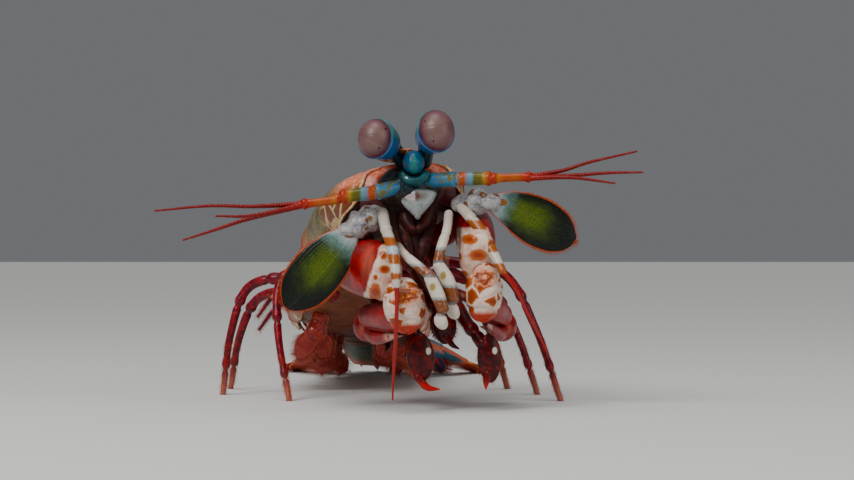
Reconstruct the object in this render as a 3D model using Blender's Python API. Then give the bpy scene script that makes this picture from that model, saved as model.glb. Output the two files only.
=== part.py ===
# A peacock mantis shrimp at life size, standing on its walking legs with its
# tail fan on the ground. All sizes are in millimetres until the last step.
import bisect
import math

import bmesh
import bpy
from mathutils import Vector
from mathutils.bvhtree import BVHTree

MM = 0.001
GAP = 0.3
ORIGIN = Vector((-3.3, 66.5, 0.0))
UP = Vector((0, 0, 1))
ACROSS = Vector((1, 0, 0))
AWAY = Vector((0, 1, 0))

for old in list(bpy.data.objects):
    bpy.data.objects.remove(old)
made = []


def eased(keys, at):
    """The values at a distance, running smoothly through the keyed ones."""
    spots = [key[0] for key in keys]
    rows = [key[1:] for key in keys]
    at = min(max(at, spots[0]), spots[-1])
    last = len(spots) - 1
    i = min(max(bisect.bisect_right(spots, at) - 1, 0), last - 1)
    span = spots[i + 1] - spots[i]
    t = (at - spots[i]) / span
    ends = []
    for j in (i, i + 1):
        low, high = max(j - 1, 0), min(j + 1, last)
        reach = spots[high] - spots[low]
        ends.append([(b - a) / reach for a, b in zip(rows[low], rows[high])])
    h1 = 2 * t**3 - 3 * t**2 + 1
    h2 = t**3 - 2 * t**2 + t
    h3 = 3 * t**2 - 2 * t**3
    h4 = t**3 - t**2
    return [
        h1 * a + h2 * span * m + h3 * b + h4 * span * n
        for a, b, m, n in zip(rows[i], rows[i + 1], ends[0], ends[1])
    ]


def spread(stations, count):
    """Evenly spaced stations on a smooth line through a few given ones."""
    far = [0.0]
    for a, b in zip(stations, stations[1:]):
        far.append(far[-1] + math.dist(a[:3], b[:3]))
    keys = [(d, *station) for d, station in zip(far, stations)]
    return [eased(keys, far[-1] * k / (count - 1)) for k in range(count)]


def signed(value, power):
    return math.copysign(abs(value) ** power, value)


def solid(name, points, faces):
    """A closed body from its points and faces, turned to face outwards."""
    mesh = bpy.data.meshes.new(name)
    mesh.from_pydata([tuple(p) for p in points], [], faces)
    body = bpy.data.objects.new(name, mesh)
    bpy.context.scene.collection.objects.link(body)
    tidy(body)
    return body


def tidy(body):
    """Weld, face outwards and keep the largest closed surface."""
    bm = bmesh.new()
    bm.from_mesh(body.data)
    bmesh.ops.remove_doubles(bm, verts=bm.verts, dist=0.002)
    bmesh.ops.triangulate(bm, faces=bm.faces)
    bmesh.ops.dissolve_degenerate(bm, edges=bm.edges, dist=0.002)
    bmesh.ops.triangulate(bm, faces=bm.faces)
    bm.faces.ensure_lookup_table()
    seen = set()
    shells = []
    for face in bm.faces:
        if face in seen:
            continue
        shell, stack = [], [face]
        seen.add(face)
        while stack:
            one = stack.pop()
            shell.append(one)
            for edge in one.edges:
                for other in edge.link_faces:
                    if other not in seen:
                        seen.add(other)
                        stack.append(other)
        shells.append(shell)
    shells.sort(key=lambda s: sum(f.calc_area() for f in s))
    spare = [f for shell in shells[:-1] for f in shell]
    if spare:
        bmesh.ops.delete(bm, geom=spare, context="FACES")
    loose = [v for v in bm.verts if not v.link_faces]
    if loose:
        bmesh.ops.delete(bm, geom=loose, context="VERTS")
    bmesh.ops.recalc_face_normals(bm, faces=bm.faces)
    if bm.calc_volume(signed=True) < 0:
        bmesh.ops.reverse_faces(bm, faces=bm.faces)
    bm.to_mesh(body.data)
    bm.free()
    body.data.update()


def closed(body):
    bm = bmesh.new()
    bm.from_mesh(body.data)
    fine = len(bm.faces) > 3 and all(len(e.link_faces) == 2 for e in bm.edges)
    fine = fine and bm.calc_volume(signed=True) > 0.05
    bm.free()
    return fine


def loft(name, rings):
    """A solid through rings of points, closed at each end by a fan."""
    count = len(rings[0])
    points = [p for ring in rings for p in ring]
    faces = []
    for r in range(len(rings) - 1):
        for k in range(count):
            a = r * count + k
            b = r * count + (k + 1) % count
            c, d = b + count, a + count
            if k < count / 2:
                faces += [(a, b, c), (a, c, d)]
            else:
                faces += [(a, b, d), (b, c, d)]
    for start, ring in ((0, rings[0]), (len(points) - count, rings[-1])):
        middle = sum((Vector(p) for p in ring), Vector()) / count
        points.append(middle)
        hub = len(points) - 1
        for k in range(count):
            faces.append((start + k, start + (k + 1) % count, hub))
    return solid(name, points, faces)


def tube(name, stations, count, sides, hint=UP, power=2.0, caps=(1, 1), dome=2):
    """A limb-like solid. Each station is x, y, z, half width, half height.

    The height runs along the hint at the first station and is carried along
    without twist. A cap is how far each domed end stands out, in radii."""
    line = spread(stations, count) if count > len(stations) else stations
    centres = [Vector(s[:3]) for s in line]
    rings = []
    top = Vector(hint)
    slots = []
    for i, centre in enumerate(centres):
        low, high = max(i - 1, 0), min(i + 1, len(centres) - 1)
        along = (centres[high] - centres[low]).normalized()
        top = (top - along * top.dot(along)).normalized()
        slots.append((centre, along, along.cross(top), top, line[i][3], line[i][4]))

    def ring(slot, scale, shift):
        centre, along, side, up, wide, high = slot
        spot = centre + along * shift
        row = []
        for k in range(sides):
            angle = 2 * math.pi * k / sides
            row.append(
                spot
                + side * signed(math.cos(angle), 2 / power) * wide * scale
                + up * signed(math.sin(angle), 2 / power) * high * scale
            )
        return row

    for cap, slot, way in ((caps[0], slots[0], -1), (caps[1], slots[-1], 1)):
        radius = min(slot[4], slot[5])
        turns = [math.pi / 2 * j / (dome + 0.6) for j in range(1, dome + 1)]
        ends = [
            ring(slot, math.cos(a), way * math.sin(a) * cap * radius) for a in turns
        ]
        if way < 0:
            rings = (ends[::-1] if cap else []) + [ring(s, 1, 0) for s in slots]
        elif cap:
            rings += ends
    return loft(name, rings)


def ball(name, centre, along, sizes, rings, sides, hint=UP):
    """An egg-shaped solid: half length along its axis, half width, height."""
    along = Vector(along).normalized()
    top = (Vector(hint) - along * Vector(hint).dot(along)).normalized()
    side = along.cross(top)
    rows = []
    for r in range(rings):
        turn = math.pi * (r + 0.7) / (rings + 0.4)
        spot = Vector(centre) - along * math.cos(turn) * sizes[0]
        wide = math.sin(turn) * sizes[1]
        high = math.sin(turn) * sizes[2]
        rows.append(
            [
                spot
                + side * math.cos(2 * math.pi * k / sides) * wide
                + top * math.sin(2 * math.pi * k / sides) * high
                for k in range(sides)
            ]
        )
    return loft(name, rows)


def spike(name, root, tip, radius, sides=5):
    """A pointed spine with a blunt tip that stays printable."""
    root, tip = Vector(root), Vector(tip)
    stations = [(*root, radius, radius), (*tip, 0.22, 0.22)]
    hint = UP if abs((tip - root).normalized().z) < 0.9 else ACROSS
    return tube(name, stations, 2, sides, hint=hint, caps=(0, 0.6), dome=1)


def swollen(body, gap):
    """A copy of a solid with every face moved out by the gap."""
    twin = bpy.data.objects.new(body.name + " swollen", body.data.copy())
    bpy.context.scene.collection.objects.link(twin)
    bm = bmesh.new()
    bm.from_mesh(twin.data)
    bm.normal_update()
    moves = []
    for vert in bm.verts:
        lean = min(max(vert.normal.dot(f.normal), 0.45) for f in vert.link_faces)
        moves.append((vert, vert.normal * (gap / lean)))
    for vert, move in moves:
        vert.co += move
    bm.to_mesh(twin.data)
    bm.free()
    twin.data.update()
    return twin


def tree(body):
    points = [v.co for v in body.data.vertices]
    return BVHTree.FromPolygons(points, [f.vertices for f in body.data.polygons])


def combined(body, others, operation, clear_of=None):
    """One Boolean of a body with a few others, applied in place."""
    group = bpy.data.collections.new(body.name + " pieces")
    bpy.context.scene.collection.children.link(group)
    for other in others:
        bpy.context.scene.collection.objects.unlink(other)
        group.objects.link(other)
    start = body.data
    for solver, crossed in (("EXACT", False), ("MANIFOLD", False), ("EXACT", True)):
        step = body.modifiers.new("combine", "BOOLEAN")
        step.operation = operation
        step.operand_type = "COLLECTION"
        step.collection = group
        step.solver = solver
        step.use_self = crossed
        graph = bpy.context.evaluated_depsgraph_get()
        result = bpy.data.meshes.new_from_object(body.evaluated_get(graph))
        body.modifiers.remove(step)
        body.data = result
        tidy(body)
        if closed(body) and not (clear_of and tree(body).overlap(tree(clear_of))):
            break
        body.data = start
    else:
        print("not combined:", body.name, operation, [o.name for o in others])
    body.data.name = body.name
    for other in others:
        bpy.data.objects.remove(other)
    bpy.data.collections.remove(group)
    return body


def joined(name, pieces):
    body = pieces[0]
    body.name = name
    return combined(body, pieces[1:], "UNION")


def box_of(body):
    points = [v.co for v in body.data.vertices]
    low = Vector([min(p[i] for p in points) for i in range(3)])
    high = Vector([max(p[i] for p in points) for i in range(3)])
    return low, high


def volume(body):
    bm = bmesh.new()
    bm.from_mesh(body.data)
    amount = bm.calc_volume(signed=True)
    bm.free()
    return amount


def place(body):
    """Add a node, cut back where it comes too near the ones before it."""
    low, high = box_of(body)
    for other in made:
        low2, high2 = box_of(other)
        if any(
            low[i] > high2[i] + GAP or low2[i] > high[i] + GAP for i in range(3)
        ):
            continue
        near = swollen(other, GAP)
        if not tree(body).overlap(tree(near)):
            bpy.data.objects.remove(near)
            continue
        before = volume(body)
        combined(body, [near], "DIFFERENCE", clear_of=other)
        lost = before - volume(body)
        if lost > 0.02:
            print(f"{body.name} gives way to {other.name} by {lost:.2f} mm3")
    made.append(body)
    return body


def level(body):
    """Cut a foot off flat on the ground."""
    bm = bmesh.new()
    bm.from_mesh(body.data)
    cut = bmesh.ops.bisect_plane(
        bm,
        geom=bm.verts[:] + bm.edges[:] + bm.faces[:],
        plane_co=(0, 0, 0),
        plane_no=(0, 0, 1),
        clear_inner=True,
    )
    edges = [e for e in cut["geom_cut"] if isinstance(e, bmesh.types.BMEdge)]
    bmesh.ops.holes_fill(bm, edges=edges)
    bm.to_mesh(body.data)
    bm.free()
    tidy(body)
    return body


# The body's middle line, from the nose back to the tip of the tail. Yaw turns
# it to one side, pitch lowers it, and roll tips the raised left side of the head.
NOSE = Vector((-0.6, 3.0, 46.5))
BEND = (
    (0, 10, 12, 7.5),
    (12, 14, 16, 7.0),
    (36, 17, 20, 5.0),
    (46, 13, 31, 2.5),
    (58, 8, 32, 0.5),
    (70, 2, 12, 0),
    (82, -3, 4, 0),
    (100, -6, 8, 0),
    (115, -7, 16.5, 0),
    (124, -7, 25, 0),
    (160, -7, 28, 0),
)
# Distance along the body, half width, height above and depth below the line.
GIRTH = (
    (4, 8.8, 4.4, 4.8),
    (8, 11.8, 5.8, 5.2),
    (12, 13.8, 6.8, 5.4),
    (24, 15.2, 7.8, 5.6),
    (36, 14.8, 8.2, 6.8),
    (48, 13.4, 8.4, 7.8),
    (58, 14.0, 8.8, 8.0),
    (75, 15.2, 9.4, 8.0),
    (100, 15.4, 9.2, 7.8),
    (115, 14.6, 8.6, 7.2),
    (124, 12.8, 7.2, 6.0),
)
STEP = 0.5


def walk():
    line = []
    point = NOSE.copy()
    for i in range(int(160 / STEP) + 1):
        yaw, pitch, roll = (math.radians(v) for v in eased(BEND, i * STEP))
        back = Vector(
            (
                -math.sin(yaw) * math.cos(pitch),
                math.cos(yaw) * math.cos(pitch),
                -math.sin(pitch),
            )
        )
        side = back.cross(UP).normalized()
        top = side.cross(back)
        tipped = side * math.cos(roll) + top * math.sin(roll)
        crown = top * math.cos(roll) - side * math.sin(roll)
        line.append((point.copy(), tipped, crown, back))
        point += back * STEP
    return line


LINE = walk()


def at(s, u=0.0, v=0.0):
    """A point s back along the body, u to its left and v above its line."""
    i = min(max(int(s / STEP), 0), len(LINE) - 2)
    t = s / STEP - i
    a, b = LINE[i], LINE[i + 1]
    point = a[0].lerp(b[0], t)
    side = a[1].lerp(b[1], min(max(t, 0), 1))
    top = a[2].lerp(b[2], min(max(t, 0), 1))
    return point + side * u + top * v


def barrel(name, start, end, rings, sides, front=0.0, rear=0.0, skirt=0.0, wings=0.0):
    """A stretch of the body, its rims drawn in or flared, pleura hanging, and
    the sides of its front brought forward as wings."""
    rows = []
    for r in range(rings):
        t = r / (rings - 1)
        s = start + (end - start) * t
        wide, high, deep = eased(GIRTH, s)
        grow = front * (1 - t) ** 3 + rear * t**3
        row = []
        for k in range(sides):
            angle = 2 * math.pi * k / sides
            c, d = math.cos(angle), math.sin(angle)
            u = (wide + grow) * signed(c, 2 / 2.4)
            v = ((high if d > 0 else deep) + grow) * signed(d, 2 / 2.4)
            lobe = math.exp(-(((abs(c) - 0.86) / 0.2) ** 2)) if d < 0 else 0
            v -= skirt * lobe * (0.45 + 0.55 * t)
            row.append(at(s - wings * c**2 * (1 - t) ** 2, u, v))
        rows.append(row)
    return loft(name, rows)


# Carapace: the shield over the head and the front of the thorax, in one plate
place(barrel("carapace", 6.5, 36.1, 9, 26, front=-0.5, rear=0.4, skirt=2.4, wings=1.8))

# Thorax: the three free rings that carry the walking legs
place(barrel("thorax_6", 36.6, 43.3, 3, 20, front=-0.7, rear=0.2, skirt=0.6))
place(barrel("thorax_7", 43.8, 50.6, 3, 20, front=-0.6, rear=0.2, skirt=0.6))
place(barrel("thorax_8", 51.1, 57.9, 3, 20, front=-0.6, rear=0.2, skirt=0.6))

# Abdomen: five broad rings with hanging pleura, and the narrower sixth
RINGS = (58.3, 69.6, 81.1, 92.6, 104.1, 115.6, 124.2)
for ring in range(6):
    place(
        barrel(
            f"abdomen_{ring + 1}",
            RINGS[ring] + 0.1,
            RINGS[ring + 1] - 0.4,
            4,
            20,
            front=-0.7,
            rear=0.5,
            skirt=2.2 if ring < 5 else 0.8,
        )
    )


# Telson: the tail plate, ridged along the middle and edged with three pairs of teeth
def telson():
    long, across = 20.0, 10
    rows = []
    for r in range(6):
        t = r / 5
        s = 124.6 + long * t
        wide = 11.0 - 2.2 * t**2
        row_top, row_low = [], []
        for k in range(across + 1):
            q = 2 * k / across - 1
            bulge = (1 - abs(q) ** 2.6) * (3.2 - 1.6 * t)
            keel = 1.1 * math.exp(-((q / 0.10) ** 2)) * math.sin(math.pi * t) ** 0.5
            side = 0.5 * math.exp(-(((abs(q) - 0.5) / 0.09) ** 2))
            v = bulge + keel + side * math.sin(math.pi * t) ** 0.5
            row_top.append(at(s, wide * q, v + 0.5))
            row_low.append(at(s, wide * q, -0.35 * bulge - 0.7))
        rows.append(row_top[::-1] + row_low)
    plate = loft("telson", rows)
    teeth = []
    for way in (-1, 1):
        teeth.append(spike("t", at(142, way * 2.6, 0.3), at(149.5, way * 3.1, 0), 1.5))
        teeth.append(spike("t", at(141, way * 6.3, 0.2), at(147.6, way * 7.2, 0), 1.2))
        teeth.append(spike("t", at(137, way * 9.2, 0), at(143.0, way * 10.6, 0), 1.0))
    return joined("telson", [plate] + teeth)


place(level(telson()))


# Uropods: each a stout base with a long forked spine below, a jointed outer
# branch edged with movable spines, and an oval inner paddle
def uropod(name, way):
    def out(s, u, v, w, h):
        return (*at(s, way * u, v), w, h)

    base = tube(
        name,
        [out(120.5, 12.4, -5.2, 2.4, 1.8), out(127.5, 15.0, -4.2, 2.6, 1.8)],
        3,
        8,
        dome=1,
    )
    pieces = [base]
    pieces.append(
        tube("o", [out(126, 15.4, -4.2, 2.2, 1.2), out(136, 19.6, -3.4, 3.1, 1.0)], 3, 8, dome=1)
    )
    pieces.append(
        tube(
            "p",
            [
                out(136, 19.8, -3.4, 2.6, 0.7),
                out(141, 21.8, -2.6, 3.4, 0.6),
                out(146.5, 23.6, -1.6, 1.6, 0.45),
            ],
            4,
            8,
            dome=1,
        )
    )
    pieces.append(
        tube(
            "i",
            [
                out(126, 13.6, -4.6, 1.2, 0.8),
                out(134, 13.8, -4.6, 2.9, 0.7),
                out(142, 14.6, -3.4, 1.4, 0.5),
            ],
            4,
            8,
            dome=1,
        )
    )
    pieces.append(spike("f", at(125, way * 13.6, -5.4), at(138.5, way * 12.0, -5.4), 1.1))
    for k in range(6):
        t = k / 5
        root = at(129.0 + 7.6 * t, way * (18.2 + 3.2 * t), -4.1 + 0.7 * t)
        tip = at(132.6 + 8.4 * t, way * (20.6 + 4.0 * t), -3.9 + 1.3 * t)
        pieces.append(spike("m", root, tip, 0.5, 3))
    return joined(name, pieces)


place(level(uropod("uropod_l", 1)))
place(level(uropod("uropod_r", -1)))


# Pleopods: five pairs of swimming limbs, each a short stem and two leafy flaps,
# with a few gill filaments hanging behind
def pleopod(name, s, way):
    stem = tube(
        name,
        [(*at(s, way * 7.6, -6.2), 1.9, 1.5), (*at(s + 1.2, way * 9.0, -10.4), 2.3, 1.2)],
        2,
        7,
        hint=AWAY,
        dome=1,
    )
    flaps = []
    for spot, tip in ((11.2, 12.6), (7.2, 6.4)):
        flaps.append(
            tube(
                "flap",
                [
                    (*at(s + 1.2, way * 9.0, -9.6), 1.6, 0.6),
                    (*at(s + 2.8, way * spot, -12.0), 2.3, 0.5),
                    (*at(s + 4.6, way * tip, -14.0), 1.2, 0.4),
                ],
                3,
                5,
                hint=AWAY,
                dome=1,
            )
        )
    gills = []
    for k in range(2):
        u, low = 8.0 + 2.0 * k, -13.0 - 0.4 * k
        gills.append(
            tube(
                "gill",
                [
                    (*at(s + 1.6, way * u, -9.4), 0.45, 0.45),
                    (*at(s + 4.6, way * (u + 0.3), -10.8), 0.42, 0.42),
                    (*at(s + 6.0, way * (u + 0.4), low), 0.28, 0.28),
                ],
                3,
                3,
                hint=ACROSS,
                caps=(0, 0.6),
                dome=1,
            )
        )
    return joined(name, [stem] + flaps + gills)


for pair in range(5):
    middle = (RINGS[pair] + RINGS[pair + 1]) / 2 - 1.0
    place(pleopod(f"pleopod_{pair + 1}_l", middle, 1))
    place(pleopod(f"pleopod_{pair + 1}_r", middle, -1))


# Walking legs: three pairs of slender limbs, each with a thin side branch
def leg(name, s, way, knee, foot):
    root = at(s, way * 6.6, -6.2)
    knee, foot = Vector(knee), Vector(foot)
    mid = root.lerp(knee, 0.45) + Vector((0, 0, 1.2))
    shin = knee.lerp(foot, 0.4) + Vector((way * 1.6, 0, 0))
    sole = foot - Vector((way * 0.2, 0, 1.2))
    main = tube(
        name,
        [
            (*root, 2.0, 2.0),
            (*mid, 1.3, 1.5),
            (*knee, 1.1, 1.2),
            (*shin, 0.9, 1.0),
            (*foot, 0.75, 0.75),
            (*sole, 0.7, 0.7),
        ],
        9,
        6,
        hint=AWAY,
        dome=1,
    )
    twig = tube(
        "twig",
        [
            (*root.lerp(mid, 0.7), 0.8, 0.8),
            (*(mid + Vector((way * 5, 3.0, -4.0))), 0.55, 0.7),
            (*(mid + Vector((way * 9, 5.0, -9.0))), 0.35, 0.5),
        ],
        3,
        5,
        hint=AWAY,
        dome=1,
    )
    return level(joined(name, [main, twig]))


place(leg("leg_1_l", 40.0, 1, (19, 35, 27), (31, 30, 0)))
place(leg("leg_1_r", 40.0, -1, (-29, 38, 26), (-27, 30, 0)))
place(leg("leg_2_l", 47.0, 1, (16, 49, 24), (27, 50, 0)))
place(leg("leg_2_r", 47.0, -1, (-37, 49, 24), (-43, 50, 0)))
place(leg("leg_3_l", 53.8, 1, (12, 61, 21), (21, 70, 0)))
place(leg("leg_3_r", 53.8, -1, (-36, 61, 21), (-43, 70, 0)))

# Rostral plate: a small hinged shield over the roots of the eyes
place(
    tube(
        "rostral_plate",
        [
            (*at(6.2, 0, 6.0), 4.8, 0.75),
            (*at(3.0, 0, 6.3), 3.9, 0.7),
            (*at(0.2, 0, 6.2), 1.3, 0.5),
        ],
        4,
        10,
        hint=UP,
        dome=1,
    )
)

# Eyes: a kidney-like cornea on each stalk, the stalk ending in a cup round it
EYES = (
    ("l", (4.2, -1.0, 56.1), (0.25, -0.933, 0.259), (3.7, 3.7, 4.3), (1.9, 7.0, 50.3)),
    ("r", (-7.8, -1.0, 54.6), (-0.416, -0.893, 0.174), (3.7, 3.6, 4.0), (-2.4, 7.0, 50.2)),
)
for mark, centre, look, sizes, root in EYES:
    place(ball(f"cornea_{mark}", centre, look, sizes, 7, 14))
for mark, centre, look, sizes, root in EYES:
    look = Vector(look).normalized()
    centre, root = Vector(centre), Vector(root)
    place(
        tube(
            f"eye_stalk_{mark}",
            [
                (*root, 1.5, 1.5),
                (*(centre - look * 6.6), 2.0, 2.1),
                (*(centre - look * 4.8), 3.1, 3.3),
                (*(centre - look * 2.6), 3.5, 3.8),
                (*(centre - look * 0.3), sizes[1] + 0.1, sizes[2] + 0.1),
            ],
            7,
            12,
            caps=(1, 0.0),
        )
    )

# Head: the block between the eyes and the feelers, with its blue middle knob
# and the collar under it
place(
    joined(
        "head",
        [
            tube(
                "head",
                [
                    (*at(1.6, 0, -1.2), 4.6, 4.2),
                    (*at(3.6, 0, -1.0), 5.8, 4.8),
                    (*at(6.1, 0, -0.8), 6.6, 5.0),
                ],
                4,
                14,
                caps=(0.5, 0),
                dome=1,
            ),
            ball("knob", (-0.3, 3.0, 50.0), (0, -1, 0), (2.6, 2.15, 2.5), 4, 10),
            ball("collar", (-0.1, 3.4, 46.3), (1, 0, 0.12), (2.6, 2.2, 1.5), 5, 8),
        ],
    )
)

# Labrum: the pale flap above the mouth
place(
    tube(
        "labrum",
        [
            (0.4, 4.6, 43.0, 4.0, 1.5),
            (0.4, 3.4, 41.4, 2.7, 1.4),
            (0.5, 3.0, 39.6, 0.8, 0.8),
        ],
        4,
        8,
        hint=AWAY,
        dome=1,
    )
)

# Mouthparts: mandibles and maxillae, packed close under the labrum
place(
    tube(
        "mouthparts",
        [
            (0.0, 8.6, 37.0, 3.4, 3.2),
            (0.2, 7.2, 34.6, 3.2, 2.8),
            (0.2, 6.0, 31.0, 2.2, 1.8),
        ],
        4,
        10,
        hint=AWAY,
        dome=1,
    )
)


# Antennules: a jointed stem each, ending in three whip-like branches
def antennule(name, stem, whips):
    pieces = [tube(name, stem, 10, 7, hint=UP, dome=1)]
    for whip in whips:
        pieces.append(tube("whip", whip, 5, 5, hint=UP, dome=1))
    return joined(name, pieces)


place(
    antennule(
        "antennule_r",
        [
            (-2.6, 4.0, 45.4, 1.5, 1.5),
            (-8.0, 1.5, 44.0, 1.5, 1.5),
            (-13.6, 0.5, 43.2, 1.3, 1.3),
            (-15.0, 0.3, 42.8, 1.5, 1.5),
            (-16.6, 0.2, 42.3, 0.9, 0.9),
            (-22.4, 0.0, 41.6, 0.95, 0.95),
            (-23.2, 0.0, 41.5, 0.7, 0.7),
        ],
        (
            (
                (-22.6, 0, 41.6, 0.6, 0.6),
                (-32.4, -0.5, 41.1, 0.42, 0.42),
                (-41.0, -1.5, 41.2, 0.34, 0.34),
                (-51.6, -3.0, 40.2, 0.25, 0.25),
            ),
            (
                (-22.4, 0, 41.3, 0.6, 0.6),
                (-33.8, -2.5, 38.4, 0.42, 0.42),
                (-39.4, -4.0, 36.5, 0.34, 0.34),
                (-45.8, -5.0, 34.4, 0.25, 0.25),
            ),
            (
                (-22.4, -0.2, 41.4, 0.6, 0.6),
                (-32.4, -4.0, 39.2, 0.4, 0.4),
                (-39.2, -6.5, 39.1, 0.25, 0.25),
            ),
        ),
    )
)
place(
    antennule(
        "antennule_l",
        [
            (2.8, 4.0, 46.4, 1.5, 1.5),
            (8.0, 1.5, 46.6, 1.5, 1.5),
            (14.2, 0.5, 46.7, 1.3, 1.3),
            (15.6, 0.3, 46.7, 1.5, 1.5),
            (17.2, 0.2, 46.8, 0.9, 0.9),
            (22.8, 0.0, 47.0, 0.95, 0.95),
            (23.8, 0.0, 47.0, 0.7, 0.7),
        ],
        (
            (
                (23.2, 0, 47.1, 0.6, 0.6),
                (29.6, -0.5, 48.3, 0.42, 0.42),
                (34.4, -1.5, 49.8, 0.34, 0.34),
                (44.0, -3.0, 52.0, 0.25, 0.25),
            ),
            (
                (23.2, 0, 46.8, 0.6, 0.6),
                (32.0, -2.0, 47.3, 0.42, 0.42),
                (38.0, -3.5, 47.7, 0.34, 0.34),
                (45.0, -5.0, 47.8, 0.25, 0.25),
            ),
            (
                (23.2, -0.2, 46.8, 0.6, 0.6),
                (31.0, -3.5, 46.8, 0.4, 0.4),
                (39.4, -6.5, 45.6, 0.25, 0.25),
            ),
        ),
    )
)


# Antennal scales: a lumpy base and a broad oval blade on each side
def scale(name, base, blade, hint):
    knob = tube(name, base, 4, 8, hint=UP, dome=1)
    leaf = tube("leaf", blade, 8, 10, hint=hint, dome=1)
    return joined(name, [knob, leaf])


place(
    scale(
        "antennal_scale_r",
        [
            (-8.2, 6.0, 39.4, 2.3, 2.3),
            (-10.8, 4.6, 37.8, 2.9, 2.9),
            (-14.0, 3.8, 36.4, 1.8, 1.6),
        ],
        [
            (-13.2, 3.8, 35.8, 2.6, 0.6),
            (-15.6, 3.4, 32.8, 4.3, 0.6),
            (-19.2, 3.0, 28.6, 5.2, 0.55),
            (-23.0, 2.8, 24.2, 4.4, 0.45),
            (-25.2, 2.8, 21.4, 1.8, 0.4),
        ],
        AWAY,
    )
)
place(
    scale(
        "antennal_scale_l",
        [
            (8.8, 6.8, 41.6, 1.5, 1.5),
            (12.2, 5.0, 42.1, 2.5, 2.6),
            (16.0, 3.8, 42.0, 1.8, 1.6),
        ],
        [
            (15.6, 3.8, 42.0, 2.4, 0.6),
            (19.6, 3.4, 40.8, 4.0, 0.6),
            (24.4, 3.0, 38.2, 4.8, 0.55),
            (29.0, 2.8, 35.6, 4.0, 0.45),
            (31.6, 2.8, 34.2, 1.8, 0.4),
        ],
        AWAY,
    )
)

# Antennae: a two-jointed stem and one thin red whip on each side
place(
    tube(
        "antenna_r",
        [
            (-6.6, 4.8, 39.8, 1.2, 1.2),
            (-5.9, 1.0, 36.8, 1.15, 1.15),
            (-4.7, -3.8, 33.4, 1.2, 1.2),
            (-4.1, -6.6, 30.6, 1.15, 1.15),
            (-3.7, -8.2, 27.0, 1.0, 1.0),
            (-3.6, -8.6, 25.2, 0.6, 0.6),
            (-3.5, -8.8, 22.4, 0.42, 0.42),
            (-3.7, -8.7, 16.8, 0.4, 0.4),
            (-4.1, -8.2, 9.2, 0.34, 0.34),
            (-4.4, -7.6, 3.0, 0.25, 0.25),
        ],
        18,
        6,
        hint=AWAY,
        dome=1,
    )
)
place(
    tube(
        "antenna_l",
        [
            (9.2, 6.0, 41.4, 1.2, 1.2),
            (11.2, 2.0, 38.8, 1.15, 1.15),
            (13.4, 0.0, 36.0, 1.2, 1.2),
            (15.6, -2.0, 31.8, 1.15, 1.15),
            (17.4, -4.6, 28.2, 0.9, 0.9),
            (17.8, -5.6, 28.0, 0.42, 0.42),
            (20.0, -6.0, 24.6, 0.4, 0.4),
            (22.2, -6.4, 20.0, 0.36, 0.36),
            (26.0, -7.0, 12.6, 0.25, 0.25),
        ],
        18,
        6,
        hint=AWAY,
        dome=1,
    )
)


# Raptorial limbs: the big striking pair. Each has a short inner joint and a
# deep merus, a knuckle-like carpus, a propodus folded back under the merus,
# and a toothed dactyl with its swollen heel at the hind end
def raptorial(mark, way, root, hinge, front, knuckle, heel):
    hinge, front = Vector(hinge), Vector(front)
    out = Vector((way, 0, 0))
    inner = tube(
        "inner",
        [
            (*root, 2.4, 2.4),
            (*(hinge + Vector((-way * 0.6, 1.2, 0))), 2.8, 2.8),
        ],
        2,
        8,
        hint=AWAY,
        dome=1,
    )
    merus = tube(
        "merus",
        [
            (*hinge, 2.6, 3.8),
            (*(hinge.lerp(front, 0.3) + out * 0.6), 3.7, 5.5),
            (*(hinge.lerp(front, 0.7) + out * 0.6), 3.7, 5.9),
            (*front, 3.2, 5.2),
        ],
        7,
        12,
        hint=UP,
        power=2.3,
        caps=(0.8, 0.5),
        dome=1,
    )
    place(joined(f"raptorial_merus_{mark}", [merus, inner]))
    centre, sizes, lean = knuckle
    place(ball(f"raptorial_carpus_{mark}", centre, lean, sizes, 6, 12, hint=AWAY))
    heel = Vector(heel)
    start = Vector(centre) + Vector((0, 1.5, -2.0))
    end = heel + Vector((0, -3.2, 2.2))
    place(
        tube(
            f"raptorial_propodus_{mark}",
            [
                (*start, 2.3, 2.9),
                (*(start.lerp(end, 0.35) + out * 0.4), 2.5, 3.1),
                (*end, 1.9, 2.3),
            ],
            5,
            10,
            hint=UP,
            caps=(0.6, 0.8),
            dome=1,
        )
    )
    low = Vector((0, 0, -4.3))
    claw = tube(
        "claw",
        [
            (*heel, 1.8, 1.8),
            (*(end.lerp(start, 0.2) + low), 1.35, 1.5),
            (*(end.lerp(start, 0.5) + low), 1.0, 1.15),
            (*(end.lerp(start, 0.78) + low * 0.92), 0.35, 0.4),
        ],
        6,
        7,
        hint=UP,
    )
    bulb = ball("bulb", heel, (0, 1, -0.35), (3.9, 3.0, 3.3), 5, 10)
    teeth = []
    for k in range(3):
        t = 0.32 + 0.16 * k
        root_at = end.lerp(start, t) + low * 0.98
        tip_at = end.lerp(start, t + 0.05) + low * 0.98 + Vector((-way * 1.9, 0, 0))
        teeth.append(spike("tooth", root_at, tip_at, 0.55, 4))
    place(joined(f"raptorial_dactyl_{mark}", [bulb, claw] + teeth))


raptorial(
    "l",
    1,
    (4.0, 23.0, 34.4),
    (10.8, 21.0, 38.2),
    (12.6, -0.6, 30.6),
    ((13.8, -1.8, 23.9), (5.9, 3.7, 3.3), (0.08, 0, 1)),
    (18.2, 21.0, 16.4),
)
raptorial(
    "r",
    -1,
    (-10.0, 22.0, 31.4),
    (-15.6, 19.0, 30.4),
    (-5.4, -3.0, 27.6),
    ((-2.1, -4.8, 21.4), (5.6, 4.1, 3.3), (-0.1, 0, 1)),
    (-10.0, 20.0, 16.4),
)

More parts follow.
